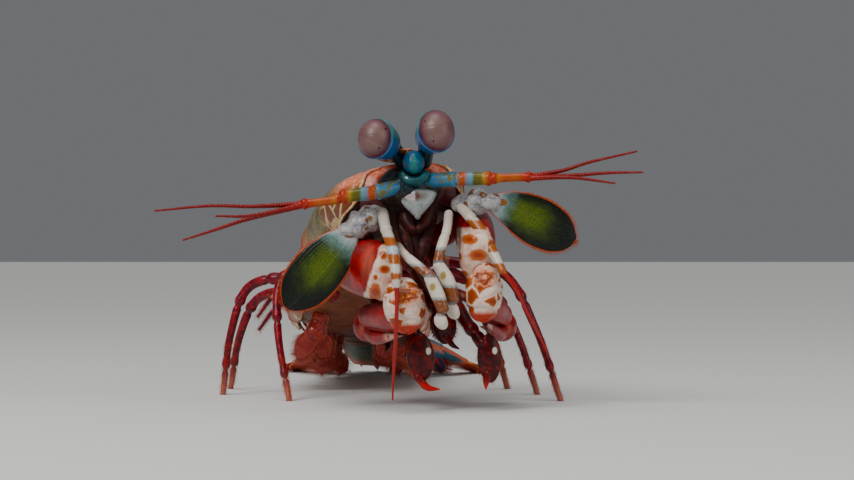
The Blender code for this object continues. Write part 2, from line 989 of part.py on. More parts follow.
# First maxillipeds: a thin pair reaching forward from the mouth, banded,
# each with a small pale end joint
place(
    tube(
        "maxilliped_1_r",
        [
            (-3.4, 5.0, 33.0, 0.9, 0.9),
            (-2.2, -1.0, 31.6, 0.85, 0.85),
            (0.4, -5.0, 29.4, 0.95, 0.95),
            (3.0, -7.0, 27.0, 1.25, 1.25),
            (4.5, -7.6, 23.6, 1.35, 1.35),
            (5.6, -7.8, 20.6, 1.2, 1.2),
            (4.6, -8.0, 18.2, 1.7, 1.0),
        ],
        11,
        6,
        hint=AWAY,
        dome=1,
    )
)
place(
    tube(
        "maxilliped_1_l",
        [
            (6.8, 5.6, 39.6, 0.9, 0.9),
            (6.4, 1.0, 36.6, 0.85, 0.85),
            (5.2, -2.6, 32.8, 0.95, 0.95),
            (4.6, -4.0, 29.6, 1.25, 1.25),
            (6.6, -4.4, 26.0, 1.4, 1.4),
            (7.6, -4.6, 22.4, 1.2, 1.2),
            (7.6, -4.6, 20.2, 1.4, 1.0),
        ],
        11,
        6,
        hint=AWAY,
        dome=1,
    )
)


# Hind maxillipeds: three pairs of feeding limbs that hang under the thorax,
# each ending in a broad flat hand with a hooked claw
def hand(name, path, palm, face, claw):
    arm = tube(name, path, 5, 6, hint=ACROSS, dome=1)
    centre, sizes, lean = palm
    disc = ball("palm", centre, lean, sizes, 5, 8, hint=face)
    hook = tube("claw", claw, 3, 5, hint=AWAY, dome=1)
    return joined(name, [arm, disc, hook])


place(
    hand(
        "maxilliped_3_r",
        [
            (-6.0, 24.0, 33.0, 1.6, 1.6),
            (-3.6, 14.0, 25.0, 1.2, 1.2),
            (-1.2, 6.0, 19.0, 1.2, 1.2),
            (0.6, 3.2, 13.6, 1.4, 1.4),
        ],
        ((0.9, 2.8, 10.9), (4.8, 2.8, 1.2), (0.08, 0, -1)),
        AWAY,
        [
            (0.6, 2.4, 6.8, 0.9, 0.9),
            (2.4, 2.0, 4.8, 0.7, 0.7),
            (4.8, 1.6, 4.4, 0.3, 0.3),
        ],
    )
)
place(
    hand(
        "maxilliped_3_l",
        [
            (2.6, 24.0, 34.0, 1.6, 1.6),
            (7.0, 14.0, 25.0, 1.2, 1.2),
            (10.6, 6.0, 17.6, 1.2, 1.2),
            (13.6, 2.6, 13.6, 1.4, 1.4),
        ],
        ((14.8, 2.2, 10.6), (4.8, 2.4, 1.1), (0.05, 0, -1)),
        AWAY,
        [
            (14.6, 1.8, 7.6, 0.9, 0.9),
            (14.3, 1.5, 6.0, 0.7, 0.7),
            (14.2, 1.2, 4.6, 0.3, 0.3),
        ],
    )
)
for mark, way in (("l", 1), ("r", -1)):
    place(
        hand(
            f"maxilliped_4_{mark}",
            [
                (*at(27.0, way * 4.4, -5.0), 1.5, 1.5),
                (*at(22.0, way * 4.4, -14.0), 1.1, 1.1),
                (*at(15.0, way * 5.0, -22.0), 1.1, 1.1),
                (*at(13.0, way * 4.2, -26.0), 1.2, 1.2),
            ],
            (at(12.6, way * 4.0, -28.6), (3.4, 2.4, 0.95), (0, 0, -1)),
            AWAY,
            [
                (*at(12.4, way * 4.0, -30.8), 0.7, 0.7),
                (*at(12.0, way * 4.8, -32.6), 0.55, 0.55),
                (*at(11.6, way * 5.8, -33.6), 0.28, 0.28),
            ],
        )
    )
    place(
        hand(
            f"maxilliped_5_{mark}",
            [
                (*at(32.0, way * 4.6, -5.6), 1.5, 1.5),
                (*at(29.5, way * 5.6, -13.0), 1.1, 1.1),
                (*at(25.0, way * 5.8, -20.0), 1.1, 1.1),
                (*at(21.5, way * 6.0, -23.6), 1.2, 1.2),
            ],
            (at(21.0, way * 5.8, -26.0), (3.2, 2.2, 0.95), (0, 0, -1)),
            AWAY,
            [
                (*at(20.8, way * 5.8, -28.0), 0.7, 0.7),
                (*at(20.4, way * 6.4, -29.6), 0.55, 0.55),
                (*at(20.0, way * 7.2, -30.4), 0.28, 0.28),
            ],
        )
    )

# Bring everything to metres, with the origin under the middle of the animal
for body in made:
    for vert in body.data.vertices:
        vert.co = (vert.co - ORIGIN) * MM
    body.data.update()
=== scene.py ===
# A peacock mantis shrimp at life size, made as a painted museum model
import bisect
import random
from collections import namedtuple
from math import copysign, cos, dist, exp, pi, radians, sin
import bpy
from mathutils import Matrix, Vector, noise


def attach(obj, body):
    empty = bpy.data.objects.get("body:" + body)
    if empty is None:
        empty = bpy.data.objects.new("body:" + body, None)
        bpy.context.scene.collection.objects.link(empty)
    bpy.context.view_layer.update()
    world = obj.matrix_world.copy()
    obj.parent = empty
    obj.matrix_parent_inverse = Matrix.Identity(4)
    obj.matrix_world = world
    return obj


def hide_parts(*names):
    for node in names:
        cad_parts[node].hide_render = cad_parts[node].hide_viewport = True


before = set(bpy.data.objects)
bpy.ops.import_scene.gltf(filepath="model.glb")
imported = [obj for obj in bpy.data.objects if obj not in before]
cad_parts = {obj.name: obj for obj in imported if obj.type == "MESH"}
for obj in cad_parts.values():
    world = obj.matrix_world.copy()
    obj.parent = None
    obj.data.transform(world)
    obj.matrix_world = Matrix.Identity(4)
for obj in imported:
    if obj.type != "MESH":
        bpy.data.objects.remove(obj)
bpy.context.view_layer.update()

# Carapace: the shield over the head and the front of the thorax, one thin plate
# of cuticle, cast and painted. It lies over the soft body and is free along its
# lower rim. Everything is measured in millimetres from the nose of the animal.
MM = 0.001
ORIGIN = Vector((-3.3, 66.5, 0))
UP = Vector((0, 0, 1))
ACROSS = Vector((1, 0, 0))
AWAY = Vector((0, 1, 0))
SIDES = (("l", 1), ("r", -1))
draw = random.Random(11)


def eased(keys, at):
    """The values at a distance, running smoothly through the keyed ones."""
    spots = [key[0] for key in keys]
    rows = [key[1:] for key in keys]
    at = min(max(at, spots[0]), spots[-1])
    last = len(spots) - 1
    i = min(max(bisect.bisect_right(spots, at) - 1, 0), last - 1)
    span = spots[i + 1] - spots[i]
    t = (at - spots[i]) / span
    ends = []
    for j in (i, i + 1):
        low, high = max(j - 1, 0), min(j + 1, last)
        reach = spots[high] - spots[low]
        ends.append([(b - a) / reach for a, b in zip(rows[low], rows[high])])
    h1 = 2 * t**3 - 3 * t**2 + 1
    h2 = t**3 - 2 * t**2 + t
    h3 = 3 * t**2 - 2 * t**3
    h4 = t**3 - t**2
    values = zip(rows[i], rows[i + 1], *ends)
    return [h1 * a + h2 * span * m + h3 * b + h4 * span * n for a, b, m, n in values]


def signed(value, power):
    return copysign(abs(value) ** power, value)


def hump(value, middle, width):
    """A smooth rise of 1 at the middle, gone about two widths away."""
    return exp(-(((value - middle) / width) ** 2))


def swells(*rises, by=0):
    """Relief that rises and falls along a tube. Each rise is a height, a middle and
    a width, by the share of the length, or by the distance when by is 1."""
    return lambda *where: sum(high * hump(where[by], *rest) for high, *rest in rises)


# The body's middle line: yaw turns it to one side, pitch lowers it towards the
# tail, and roll tips the raised left side of the head
NOSE = Vector((-0.6, 3, 46.5))
BEND = (
    (0, 10, 12, 7.5),
    (12, 14, 16, 7),
    (36, 17, 20, 5),
    (46, 13, 31, 2.5),
    (58, 8, 32, 0.5),
    (70, 2, 12, 0),
    (82, -3, 4, 0),
    (100, -6, 8, 0),
    (115, -7, 16.5, 0),
    (124, -7, 25, 0),
    (160, -7, 28, 0),
)
# Distance along the body, half width, height above and depth below the line
GIRTH = (
    (4, 8.8, 4.4, 4.8),
    (8, 11.8, 5.8, 5.2),
    (12, 13.8, 6.8, 5.4),
    (24, 15.2, 7.8, 5.6),
    (36, 14.8, 8.2, 6.8),
    (48, 13.4, 8.4, 7.8),
    (58, 14, 8.8, 8),
    (75, 15.2, 9.4, 8),
    (100, 15.4, 9.2, 7.8),
    (115, 14.6, 8.6, 7.2),
    (124, 12.8, 7.2, 6),
)
SHELL_POWER = 2.4
STEP, LENGTH = 0.5, 160


def walk():
    line = []
    point = NOSE.copy()
    for i in range(int(LENGTH / STEP) + 1):
        yaw, pitch, roll = (radians(v) for v in eased(BEND, i * STEP))
        level = cos(pitch)
        back = Vector((-sin(yaw) * level, cos(yaw) * level, -sin(pitch)))
        side = back.cross(UP).normalized()
        top = side.cross(back)
        tipped = side * cos(roll) + top * sin(roll)
        crown = top * cos(roll) - side * sin(roll)
        line.append((point.copy(), tipped, crown))
        point += back * STEP
    return line


line = walk()


def at(s, u=0, v=0):
    """A point s back along the body, u to its left and v above its line."""
    i = min(max(int(s / STEP), 0), len(line) - 2)
    t = s / STEP - i
    a, b = line[i], line[i + 1]
    near = min(max(t, 0), 1)
    return a[0].lerp(b[0], t) + a[1].lerp(b[1], near) * u + a[2].lerp(b[2], near) * v


def rib(s, u, v, *sizes):
    """A station of a tube, given by its place on the body."""
    return (*at(s, u, v), *sizes)


def girth(s, c, d, out, sides=2, further=0):
    """A point round the body at a turn with the cosine c and the sine d. Below the
    middle line it hangs lower by what the sides add."""
    wide, high, deep = eased(GIRTH, s)
    u = (wide + out) * signed(c, 2 / SHELL_POWER)
    v = ((high if d > 0 else deep + sides) + out) * signed(d, 2 / SHELL_POWER)
    return at(s + further, u, v)


def grid(rows, columns, place, whole=False):
    """Rows of points and rows of spots, made from the shares of the way down and
    across. Whole rows go all the way round."""
    last = columns if whole else columns - 1
    made = [[place(r / (rows - 1), k / last) for k in range(columns)] for r in range(rows)]
    return [[[pair[i] for pair in row] for row in made] for i in (0, 1)]


# A cross-section of a tube: its distance along, middle, directions and half sizes
Slot = namedtuple("Slot", "d centre along side top wide high")


class Form:
    """One piece being made. Every point knows its spot: how far it is along the
    piece in mm, and the cosine and sine of its turn round the piece. The hint is
    roughly where the top of its tubes and balls faces."""

    def __init__(self, hint=UP):
        self.hint = hint
        self.points, self.spots, self.faces, self.patches = [], [], [], []

    def rows(self, rows, spots, round_too=True):
        """Faces between rows of points, each row closed into a ring or open."""
        first, count = len(self.points), len(rows[0])
        for row, marks in zip(rows, spots):
            self.points += row
            self.spots += marks
        for r in range(len(rows) - 1):
            for k in range(count if round_too else count - 1):
                a = first + r * count + k
                b = first + r * count + (k + 1) % count
                self.faces.append((a, b, b + count, a + count))
        return first

    def closed(self, rows, spots, *ends):
        """Rings of points joined into a skin, with a fan of faces over each end."""
        start, count = self.rows(rows, spots), len(rows[0])
        for first, spot in zip((start, start + (len(rows) - 1) * count), ends):
            ring = self.points[first : first + count]
            self.points.append(sum((Vector(p) for p in ring), Vector()) / count)
            self.spots.append(spot)
            hub = len(self.points) - 1
            self.faces += [(first + k, first + (k + 1) % count, hub) for k in range(count)]

    def tube(self, stations, count, sides, hint=None, power=2, caps=(1, 1), relief=None, far=0):
        """A limb-like length through stations of x, y, z, half width, half height.
        Round ones give one size. Relief is a function of the share along, the
        distance and the turn."""
        stations = [(*station, station[3])[:5] for station in stations]
        spans = [dist(a[:3], b[:3]) for a, b in zip(stations, stations[1:])]
        gone = [sum(spans[:i]) for i in range(len(stations))]
        keys = [(d, *station) for d, station in zip(gone, stations)]
        marks = [gone[-1] * k / (count - 1) for k in range(count)]
        path = [eased(keys, d) for d in marks]
        spot = [Vector(p[:3]) for p in path]
        top, slots = Vector(hint or self.hint), []
        for i, centre in enumerate(spot):
            along = (spot[min(i + 1, count - 1)] - spot[max(i - 1, 0)]).normalized()
            top = (top - along * top.dot(along)).normalized()
            slots.append(Slot(marks[i], centre, along, along.cross(top), top, *path[i][3:5]))
        ends = [pi / 2 * j / 5.3 for j in range(5, 0, -1)]
        plan = [(slots[0], cos(a), -sin(a) * caps[0]) for a in ends if caps[0]]
        plan += [(slot, 1, 0) for slot in slots]
        plan += [(slots[-1], cos(a), sin(a) * caps[1]) for a in ends[::-1] if caps[1]]
        rows, marks = [], []
        for (d, centre, along, side, up, wide, high), scale, shift in plan:
            push = shift * min(wide, high)
            row, mark = [], []
            for k in range(sides):
                turn = 2 * pi * k / sides
                c, s = cos(turn), sin(turn)
                more = relief(d / gone[-1], d, turn) if relief else 0
                x = signed(c, 2 / power) * (wide + more) * scale
                y = signed(s, 2 / power) * (high + more) * scale
                row.append(centre + along * push + side * x + up * y)
                mark.append((far + d + push, c, s))
            rows.append(row)
            marks.append(mark)
        self.closed(rows, marks, (far, 0, 0), (far + gone[-1], 0, 0))
        return slots

    def ball(self, centre, along, sizes, rings, sides, relief=None):
        """An egg-shaped form: half length along its axis, half width, height. Relief
        is a function of the angle from the end and of the turn."""
        along = Vector(along).normalized()
        top = Vector(self.hint)
        top = (top - along * top.dot(along)).normalized()
        side = along.cross(top)
        rows, marks = [], []
        for r in range(rings):
            lift = pi * (r + 0.35) / (rings - 0.3)
            row, mark = [], []
            for k in range(sides):
                turn = 2 * pi * k / sides
                c, s, ring = cos(turn), sin(turn), sin(lift)
                more = 1 + (relief(lift, turn) if relief else 0)
                reach = -along * cos(lift) * sizes[0] * more
                spread = side * c * ring * sizes[1] + top * s * ring * sizes[2]
                row.append(Vector(centre) + reach + spread * more)
                mark.append((sizes[0] * (1 - cos(lift)), c, s))
            rows.append(row)
            marks.append(mark)
        self.closed(rows, marks, (0, 0, 0), (2 * sizes[0], 0, 0))

    def plate(self, outer, spots, thick):
        """A thin shell from the rows of its outer face, with a rounded rim."""
        high, wide = len(outer), len(outer[0])
        middle = sum((p for row in outer for p in row), Vector()) / (high * wide)

        def normal(r, k):
            down = outer[min(r + 1, high - 1)][k] - outer[max(r - 1, 0)][k]
            over = outer[r][min(k + 1, wide - 1)] - outer[r][max(k - 1, 0)]
            return over.cross(down).normalized()

        facing = sum(normal(r, k).dot(outer[r][k] - middle) for r in range(high) for k in (0, wide // 2))
        way = copysign(1, facing)
        inner = [
            [outer[r][k] - normal(r, k) * way * thick for k in range(wide)] for r in range(high)
        ]
        front = self.rows(outer, spots, False)
        behind = self.rows(inner, spots, False)
        rim = [(0, k) for k in range(wide)]
        rim += [(r, wide - 1) for r in range(1, high)]
        rim += [(high - 1, k) for k in range(wide - 2, -1, -1)]
        rim += [(r, 0) for r in range(high - 2, 0, -1)]
        lip = len(self.points)
        for r, k in rim:
            inward = outer[min(max(r, 2), high - 3)][min(max(k, 2), wide - 3)]
            push = (outer[r][k] - inward).normalized() * thick * 0.4
            self.points.append((outer[r][k] + inner[r][k]) / 2 + push)
            self.spots.append(spots[r][k])
        for i, (r, k) in enumerate(rim):
            j = (i + 1) % len(rim)
            here, there = r * wide + k, rim[j][0] * wide + rim[j][1]
            self.faces.append((front + here, front + there, lip + j, lip + i))
            self.faces.append((lip + i, lip + j, behind + there, behind + here))

    def hair(self, root, lie, length, bend, thick, home):
        """A tapered, bent bristle. Its home is its place on the skin's unwrap."""
        lie = Vector(lie).normalized()
        side = lie.cross(UP if abs(lie.z) < 0.9 else ACROSS).normalized()
        over = lie.cross(side)
        first = len(self.points)
        # The share along, the width and the bend of its three rings
        for share, wide, drop in ((-0.08, 1, 0), (0.45, 0.7, 0.35), (1, 0.12, 1)):
            spot = Vector(root) + lie * length * share + Vector(bend) * length * drop
            for k in range(3):
                turn = 2 * pi * k / 3
                self.points.append(spot + (side * cos(turn) + over * sin(turn)) * thick * wide)
                self.spots.append((length * share, share, drop))
        for r in range(2):
            for k in range(3):
                a, b = first + 3 * r + k, first + 3 * r + (k + 1) % 3
                self.faces.append((a, b, b + 3, a + 3))
                self.patches.append((home, r, k))
        self.faces += [(first + 2, first + 1, first), (first + 6, first + 7, first + 8)]
        self.patches += [(home, 0, 3), (home, 2, 3)]

    def piece(self, name, paint, slot, *nodes):
        """The finished object, in its place, riding on the animal's one body."""
        mesh = bpy.data.meshes.new(name)
        places = [(Vector(p) - ORIGIN) * MM for p in self.points]
        mesh.from_pydata(places, [], self.faces)
        mesh.validate()
        mesh.attributes.new("spot", "FLOAT_VECTOR", "POINT")
        mesh.attributes["spot"].data.foreach_set("vector", [v for spot in self.spots for v in spot])
        if self.patches:
            unwrap = mesh.uv_layers.new(name="OFBake")
            for face, ((u, v), r, k) in zip(mesh.polygons, self.patches):
                for n, corner in enumerate(face.loop_indices):
                    across = (k + (n in (1, 2))) * PATCH / 4
                    down = (r + (n > 1)) * PATCH / 3
                    unwrap.data[corner].uv = (u + across, v + down)
        mesh.shade_smooth()
        mesh.materials.append(paint.material)
        made = bpy.data.objects.new(name, mesh)
        bpy.context.scene.collection.objects.link(made)
        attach(made, "root")
        if nodes:
            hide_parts(*nodes)


# How wide a bristle's patch is on the unwrap
PATCH = 0.003


def reckon(operation, swapped=False):
    """An operator that adds one Math or Vector Math node."""

    def act(self, other):
        pair = [other, self] if swapped else [self, other]
        kind = "Math"
        if self.socket.type == "VECTOR":
            kind = "VectorMath"
            pair = [(p, p, p) if isinstance(p, (int, float)) else p for p in pair]
        return self.paint.node(kind, {"operation": operation}, dict(enumerate(pair)))

    return act


class Value:
    """A shader socket that can be added to, multiplied and so on."""

    def __init__(self, paint, socket):
        self.paint, self.socket = paint, socket

    __add__, __radd__ = reckon("ADD"), reckon("ADD", True)
    __sub__, __rsub__ = reckon("SUBTRACT"), reckon("SUBTRACT", True)
    __mul__, __rmul__ = reckon("MULTIPLY"), reckon("MULTIPLY", True)
    __truediv__, __pow__ = reckon("DIVIDE"), reckon("POWER")
    least, most = reckon("MINIMUM"), reckon("MAXIMUM")


def tint(*seen):
    """A colour as it is seen, from 0 to 255, turned into the amount of light."""
    shares = [v / 255 for v in seen]
    return (*[v / 12.92 if v < 0.0405 else ((v + 0.055) / 1.055) ** 2.4 for v in shares], 1)


class Paint:
    """A material whose nodes are written as sums and calls. Colours are given as
    they are seen, from 0 to 255."""

    def __init__(self, name, coat=0, polish=0.03):
        self.material = bpy.data.materials.new(name)
        self.material.use_nodes = True
        self.tree = self.material.node_tree
        self.shader = self.tree.nodes["Principled BSDF"]
        self.shader.inputs["Specular IOR Level"].default_value = 0.22
        self.shader.inputs["Coat Weight"].default_value = coat
        self.shader.inputs["Coat Roughness"].default_value = polish
        seen = self.node("TexCoord", output="Object")
        self.place = seen * (1 / MM) + ORIGIN
        spot = self.node("Attribute", {"attribute_name": "spot"}, output="Vector")
        self.along, self.side, self.top = self.split(spot)

    def node(self, kind, settings=None, sockets=None, output=0):
        made = self.tree.nodes.new("ShaderNode" + kind)
        for key, value in (settings or {}).items():
            if key == "stops":
                ramp = made.color_ramp.elements
                ramp.remove(ramp[1])
                ramp[0].position, ramp[0].color = value[0][0], tint(*value[0][1])
                for share, colour in value[1:]:
                    ramp.new(share).color = tint(*colour)
            else:
                setattr(made, key, value)
        for key, value in (sockets or {}).items():
            self.feed(made.inputs[key], value)
        return Value(self, made.outputs[output])

    def feed(self, socket, value):
        if isinstance(value, Value):
            self.tree.links.new(value.socket, socket)
        elif socket.type == "RGBA":
            socket.default_value = tint(*value)
        else:
            socket.default_value = value

    def height(self):
        return self.split(self.place)[2]

    def split(self, vector):
        parts = self.node("SeparateXYZ", sockets={0: vector}).socket.node.outputs
        return [Value(self, part) for part in parts]

    def smooth(self, value, low, high):
        """0 below low, 1 above high and a soft step between, or the reverse."""
        ends = {"Value": value, "From Min": low, "From Max": high}
        return self.node("MapRange", {"interpolation_type": "SMOOTHSTEP"}, ends)

    def band(self, value, low, high, soft=0.15):
        rise = self.smooth(value, low - soft, low + soft)
        return rise * self.smooth(value, high + soft, high - soft)

    def clouds(self, size, detail=3, at=None):
        """Noise whose blots are about a size across, in mm."""
        ends = {"Vector": at or self.place, "Scale": 1 / size, "Detail": detail, "Roughness": 0.55}
        return self.node("TexNoise", sockets=ends)

    def blots(self, size, low, high, detail=3):
        """The clouds cut into blots with soft edges."""
        return self.smooth(self.clouds(size, detail), low, high)

    def stir(self, size, amount, detail=3):
        """Noise about zero, which roughens a straight edge."""
        return (self.clouds(size, detail) - 0.5) * amount

    def warped(self, scale, amount):
        """The places on the surface, pulled about at random."""
        ends = {"Vector": self.place, "Scale": scale}
        return self.place + self.node("TexNoise", sockets=ends, output="Color") * amount

    def ramp(self, value, *stops):
        return self.node("ValToRGB", {"stops": stops}, {0: value})

    def length(self, vector):
        return self.node("VectorMath", {"operation": "LENGTH"}, {0: vector}, "Value")

    def wave(self, value):
        return self.node("Math", {"operation": "SINE"}, {0: value})

    def aside(self):
        """How far to either side of the middle, from 0 to 1."""
        return self.side.most(self.side * -1)

    def cells(self, size, feature="DISTANCE_TO_EDGE", at=None, random=1):
        ends = {"Vector": at or self.place, "Scale": 1 / size, "Randomness": random}
        return self.node("TexVoronoi", {"feature": feature}, ends)

    def dots(self, size, high, low, random=1):
        """Round dots, one in each cell."""
        return self.smooth(self.cells(size, "F1", random=random), high, low)

    def near(self, centre, sizes, ragged=0, soft=0.2):
        """1 inside an egg-shaped place on the surface, with a soft edge."""
        away = (self.place - tuple(centre)) / tuple(sizes)
        far = self.length(away)
        if ragged:
            far = far + self.stir(0.9, ragged, 2)
        return self.smooth(far, 1 + soft, 1 - soft)

    def blend(self, mask, first, second):
        return self.node("Mix", {"data_type": "RGBA"}, {0: mask, 6: first, 7: second}, 2)

    def layers(self, ground, *coats):
        """A ground colour with coats laid over it, each a mask and a colour."""
        for mask, colour in coats:
            ground = self.blend(mask, ground, colour)
        return ground

    def finish(self, colour, rough, height=None, depth=0.05):
        """Joins the colour, roughness and relief (in mm) to the shader."""
        self.feed(self.shader.inputs["Base Color"], colour)
        self.feed(self.shader.inputs["Roughness"], rough)
        if height is not None:
            ends = {"Strength": 1, "Distance": depth * MM, "Height": height}
            self.feed(self.shader.inputs["Normal"], self.node("Bump", sockets=ends))
        return self


PLATE_THICK = 0.45


def hood(start, end, reach, shape, rows, columns):
    """A plate over the body, from low on one side round to the other. Reach says
    how many degrees it hangs below the middle, and shape gives its relief."""

    def place(t, share):
        hang = reach(t)
        turn = radians(-hang + (180 + 2 * hang) * share)
        c, d = cos(turn), sin(turn)
        out, back = shape(t, c, d, min(share, 1 - share))
        s = start + (end - start) * t + back
        return girth(s, c, d, out), (s, c, d)

    form = Form()
    form.plate(*grid(rows, columns, place), PLATE_THICK)
    return form


FRONT, REAR = 6.3, 36.6
GROOVE, WINGS = 0.46, 1.8


def carapace_shape(t, c, d, edge):
    bead = 0.3 * hump(t, 0, 0.035) + 0.28 * hump(edge, 0, 0.012)
    gastric = -0.42 * hump(abs(c), GROOVE, 0.05) * (1 - t) ** 0.3 * hump(t, 0.4, 0.45)
    cervical = -0.35 * hump(t, 0.56, 0.03) * hump(c, 0, 0.42)
    keel = 0.16 * hump(c, 0, 0.03) * hump(t, 0.75, 0.25)
    branchial = 0.5 * hump(abs(c), 0.86, 0.2) * hump(t, 0.45, 0.4)
    lift = -0.25 + bead + gastric + cervical + keel + branchial
    corner = 4.2 * (1 - t) ** 3 * max(0, 0.35 - d) ** 1.5
    return lift, corner - WINGS * (1 - t) ** 2 * c**2


def carapace_paint():
    p = Paint("carapace_cuticle", coat=0.25, polish=0.25)
    mottle = p.clouds(3.2, 4)
    veins = p.smooth(p.clouds(0.55, at=p.place * (1, 0.25, 1)), 0.45, 0.62)
    low = p.smooth(p.top, 0.42, 0.1)
    front = p.smooth(p.along + mottle * 5, 21, 11.5)
    net = p.cells(4.4, at=p.warped(0.28, 3), random=0.8)
    leopard = low * p.smooth(p.along + mottle * 4, 25.5, 20)
    lines = p.smooth(net + (mottle - 0.5) * 0.06, 0.075, 0.035)
    rim = p.smooth(p.along, 37.2, 35.6) * p.smooth(p.along, 34.4, 35.6)
    ground = p.ramp(mottle, (0.3, (72, 62, 22)), (0.5, (112, 96, 40)), (0.72, (150, 120, 66)))
    colour = p.layers(
        ground,
        (veins * 0.35, (60, 40, 14)),
        (front * 0.9, (214, 118, 70)),
        (front * veins * 0.7, (234, 150, 148)),
        (front * p.smooth(mottle, 0.52, 0.66) * 0.85, (186, 78, 24)),
        (leopard, (112, 52, 14)),
        (leopard * p.smooth(net, 0.2, 0.42) * 0.6, (66, 26, 8)),
        (leopard * lines, (196, 164, 112)),
        (rim * 0.8, (150, 44, 14)),
    )
    return p.finish(colour, 0.42 - mottle * 0.2, p.clouds(0.5, 4) + veins * 0.4, 0.12)


cuticle = carapace_paint()
hang = lambda t: 6 + 24 * min(1, 3.2 * t) ** 0.7 * (1 - 0.35 * t**4)
shield = hood(FRONT, REAR, hang, carapace_shape, 60, 150)
shield.piece("carapace_plate", cuticle, "shell", "carapace")

# Brow: the soft pleated skin that closes the front of the shield onto the head. It
# is cast in the same mould as the shield and slopes down to the roots of the feelers.


def brow_paint():
    p = Paint("brow_skin", coat=0.3, polish=0.25)
    mottle = p.clouds(1.6, 4)
    low = p.smooth(p.top, 0.1, -0.25)
    colour = p.layers(
        (196, 92, 54),
        (p.smooth(mottle, 0.44, 0.6) * 0.8, (206, 134, 126)),
        (p.blots(0.7, 0.56, 0.68) * 0.8, (146, 56, 18)),
        (p.blots(1.1, 0.56, 0.64) * p.smooth(p.along, 2.2, 0.6), (88, 138, 190)),
        (low, (70, 14, 12)),
    )
    return p.finish(colour, 0.4, mottle + p.clouds(0.4, 4) * 0.5, 0.2)


def brow_place(t, share):
    turn = radians(-40 + 260 * share)
    c, d = cos(turn), sin(turn)
    out, back = carapace_shape(0, c, d, 0)
    outer = girth(FRONT + back, c, d, out - 0.5, further=0.25)
    inner = at(5.2, 5.6 * c, -0.8 + 4.2 * d)
    swell = 0.9 * sin(pi * t) - 0.14 * sin(2.5 * pi * t) * abs(c)
    return outer.lerp(inner, t) + (at(0) - at(4)).normalized() * swell, (3 * (1 - t), c, d)


brow = Form()
brow.plate(*grid(12, 120, brow_place), 0.3)
brow.piece("carapace_brow", brow_paint(), "shell")

# Carapace border: the pale cream bead that stiffens the front and lower rims of
# the shield. It is part of the same moulding, picked out in another colour.
border = Paint("carapace_border", coat=0.3)
border.finish(
    border.blend(border.blots(1.1, 0.4, 0.6), (232, 202, 150), (196, 128, 70)),
    0.4, border.clouds(0.4), 0.05,
)
FRONT_SHARE = 0.4
for mark, way in SIDES:
    path = []
    for k in range(36):
        share = k / 35
        t = max(0, share - FRONT_SHARE) / (1 - FRONT_SHARE) * 0.9
        turn = radians(34 - 40 * share / FRONT_SHARE if share < FRONT_SHARE else -hang(t))
        c, d = cos(turn) * way, sin(turn)
        out, back = carapace_shape(t, c, d, 0)
        s = FRONT + (REAR - FRONT) * t + back - 0.1
        path.append((*girth(s, c, d, out - 0.1), 0.32 - 0.14 * share))
    rail = Form()
    rail.tube(path, 110, 8)
    rail.piece(f"carapace_border_{mark}", border, "shell")

# Body: the soft flesh inside the plates, one long closed form. It shows dark red
# round the mouth and pale between the plates below, and carries every limb.
flesh = Paint("body_flesh")
blots = flesh.clouds(2.4, 4)
flesh_colour = flesh.layers(
    (128, 70, 46),
    (flesh.smooth(blots, 0.5, 0.7) * 0.7, (84, 40, 22)),
    (flesh.smooth(flesh.along, 34, 12), (56, 9, 7)),
    (flesh.smooth(flesh.top, 0.1, 0.6) * 0.7, (90, 74, 34)),
)
flesh.finish(flesh_colour, 0.45, flesh.clouds(0.7, 4), 0.15)
RINGS = (58.3, 69.6, 81.1, 92.6, 104.1, 115.6, 124.2)
CREASES = (36.4, 43.5, 50.8) + RINGS
NECK, RUMP = 5.8, 124.4


def body_place(t, share):
    s = NECK + (RUMP - NECK) * t
    crease = 0.5 * sum(hump(s, place, 0.7) for place in CREASES)
    inset = -1 - crease - 2.2 * hump(s, NECK, 1.2) - 1.5 * hump(s, RUMP, 1)
    turn = 2 * pi * share
    c, d = cos(turn), sin(turn)
    return girth(s, c, d, inset, -0.5 * hump(c, 0, 0.16)), (s, c, d)


body = Form()
body.closed(*grid(190, 64, body_place, True), (NECK, 0, 0), (RUMP, 0, 0))
body.piece("body_flesh", flesh, "shell")

# Tergites: the hard arched plates of the free thorax rings and of the abdomen.
# Each is one thin moulding whose rear rim lies over the front of the next one,
# and whose rounded ends hang at the sides. The rear rims are red.


def tergite_paint():
    p = Paint("tergite_cuticle", coat=0.25, polish=0.25)
    mottle = p.clouds(2.6, 5)
    fine = p.clouds(0.5, 4)
    low = p.smooth(p.top, 0.35, -0.05)
    reach = None
    for place in CREASES[1:]:
        one = p.band(p.along, place - 0.55, place + 1.4, 0.3)
        reach = one if reach is None else reach.most(one)
    ground = p.ramp(mottle, (0.28, (58, 66, 24)), (0.48, (98, 98, 38)), (0.7, (138, 122, 58)))
    spots = p.dots(2.6, 0.42, 0.26, random=0.8)
    colour = p.layers(
        ground,
        (p.smooth(fine, 0.5, 0.62) * 0.35, (44, 40, 12)),
        (low * 0.85, (164, 96, 44)),
        (low * spots, (230, 196, 140)),
        (reach * 0.9, (166, 40, 16)),
        (p.smooth(p.side * p.side, 0.006, 0) * 0.4, (60, 80, 40)),
    )
    return p.finish(colour, 0.4 - mottle * 0.15, fine + mottle * 0.5, 0.1)


tergite_cuticle = tergite_paint()
THORAX = (("thorax_6", 36, 44.3, 16), ("thorax_7", 43, 51.6, 16), ("thorax_8", 50.2, 59, 18))


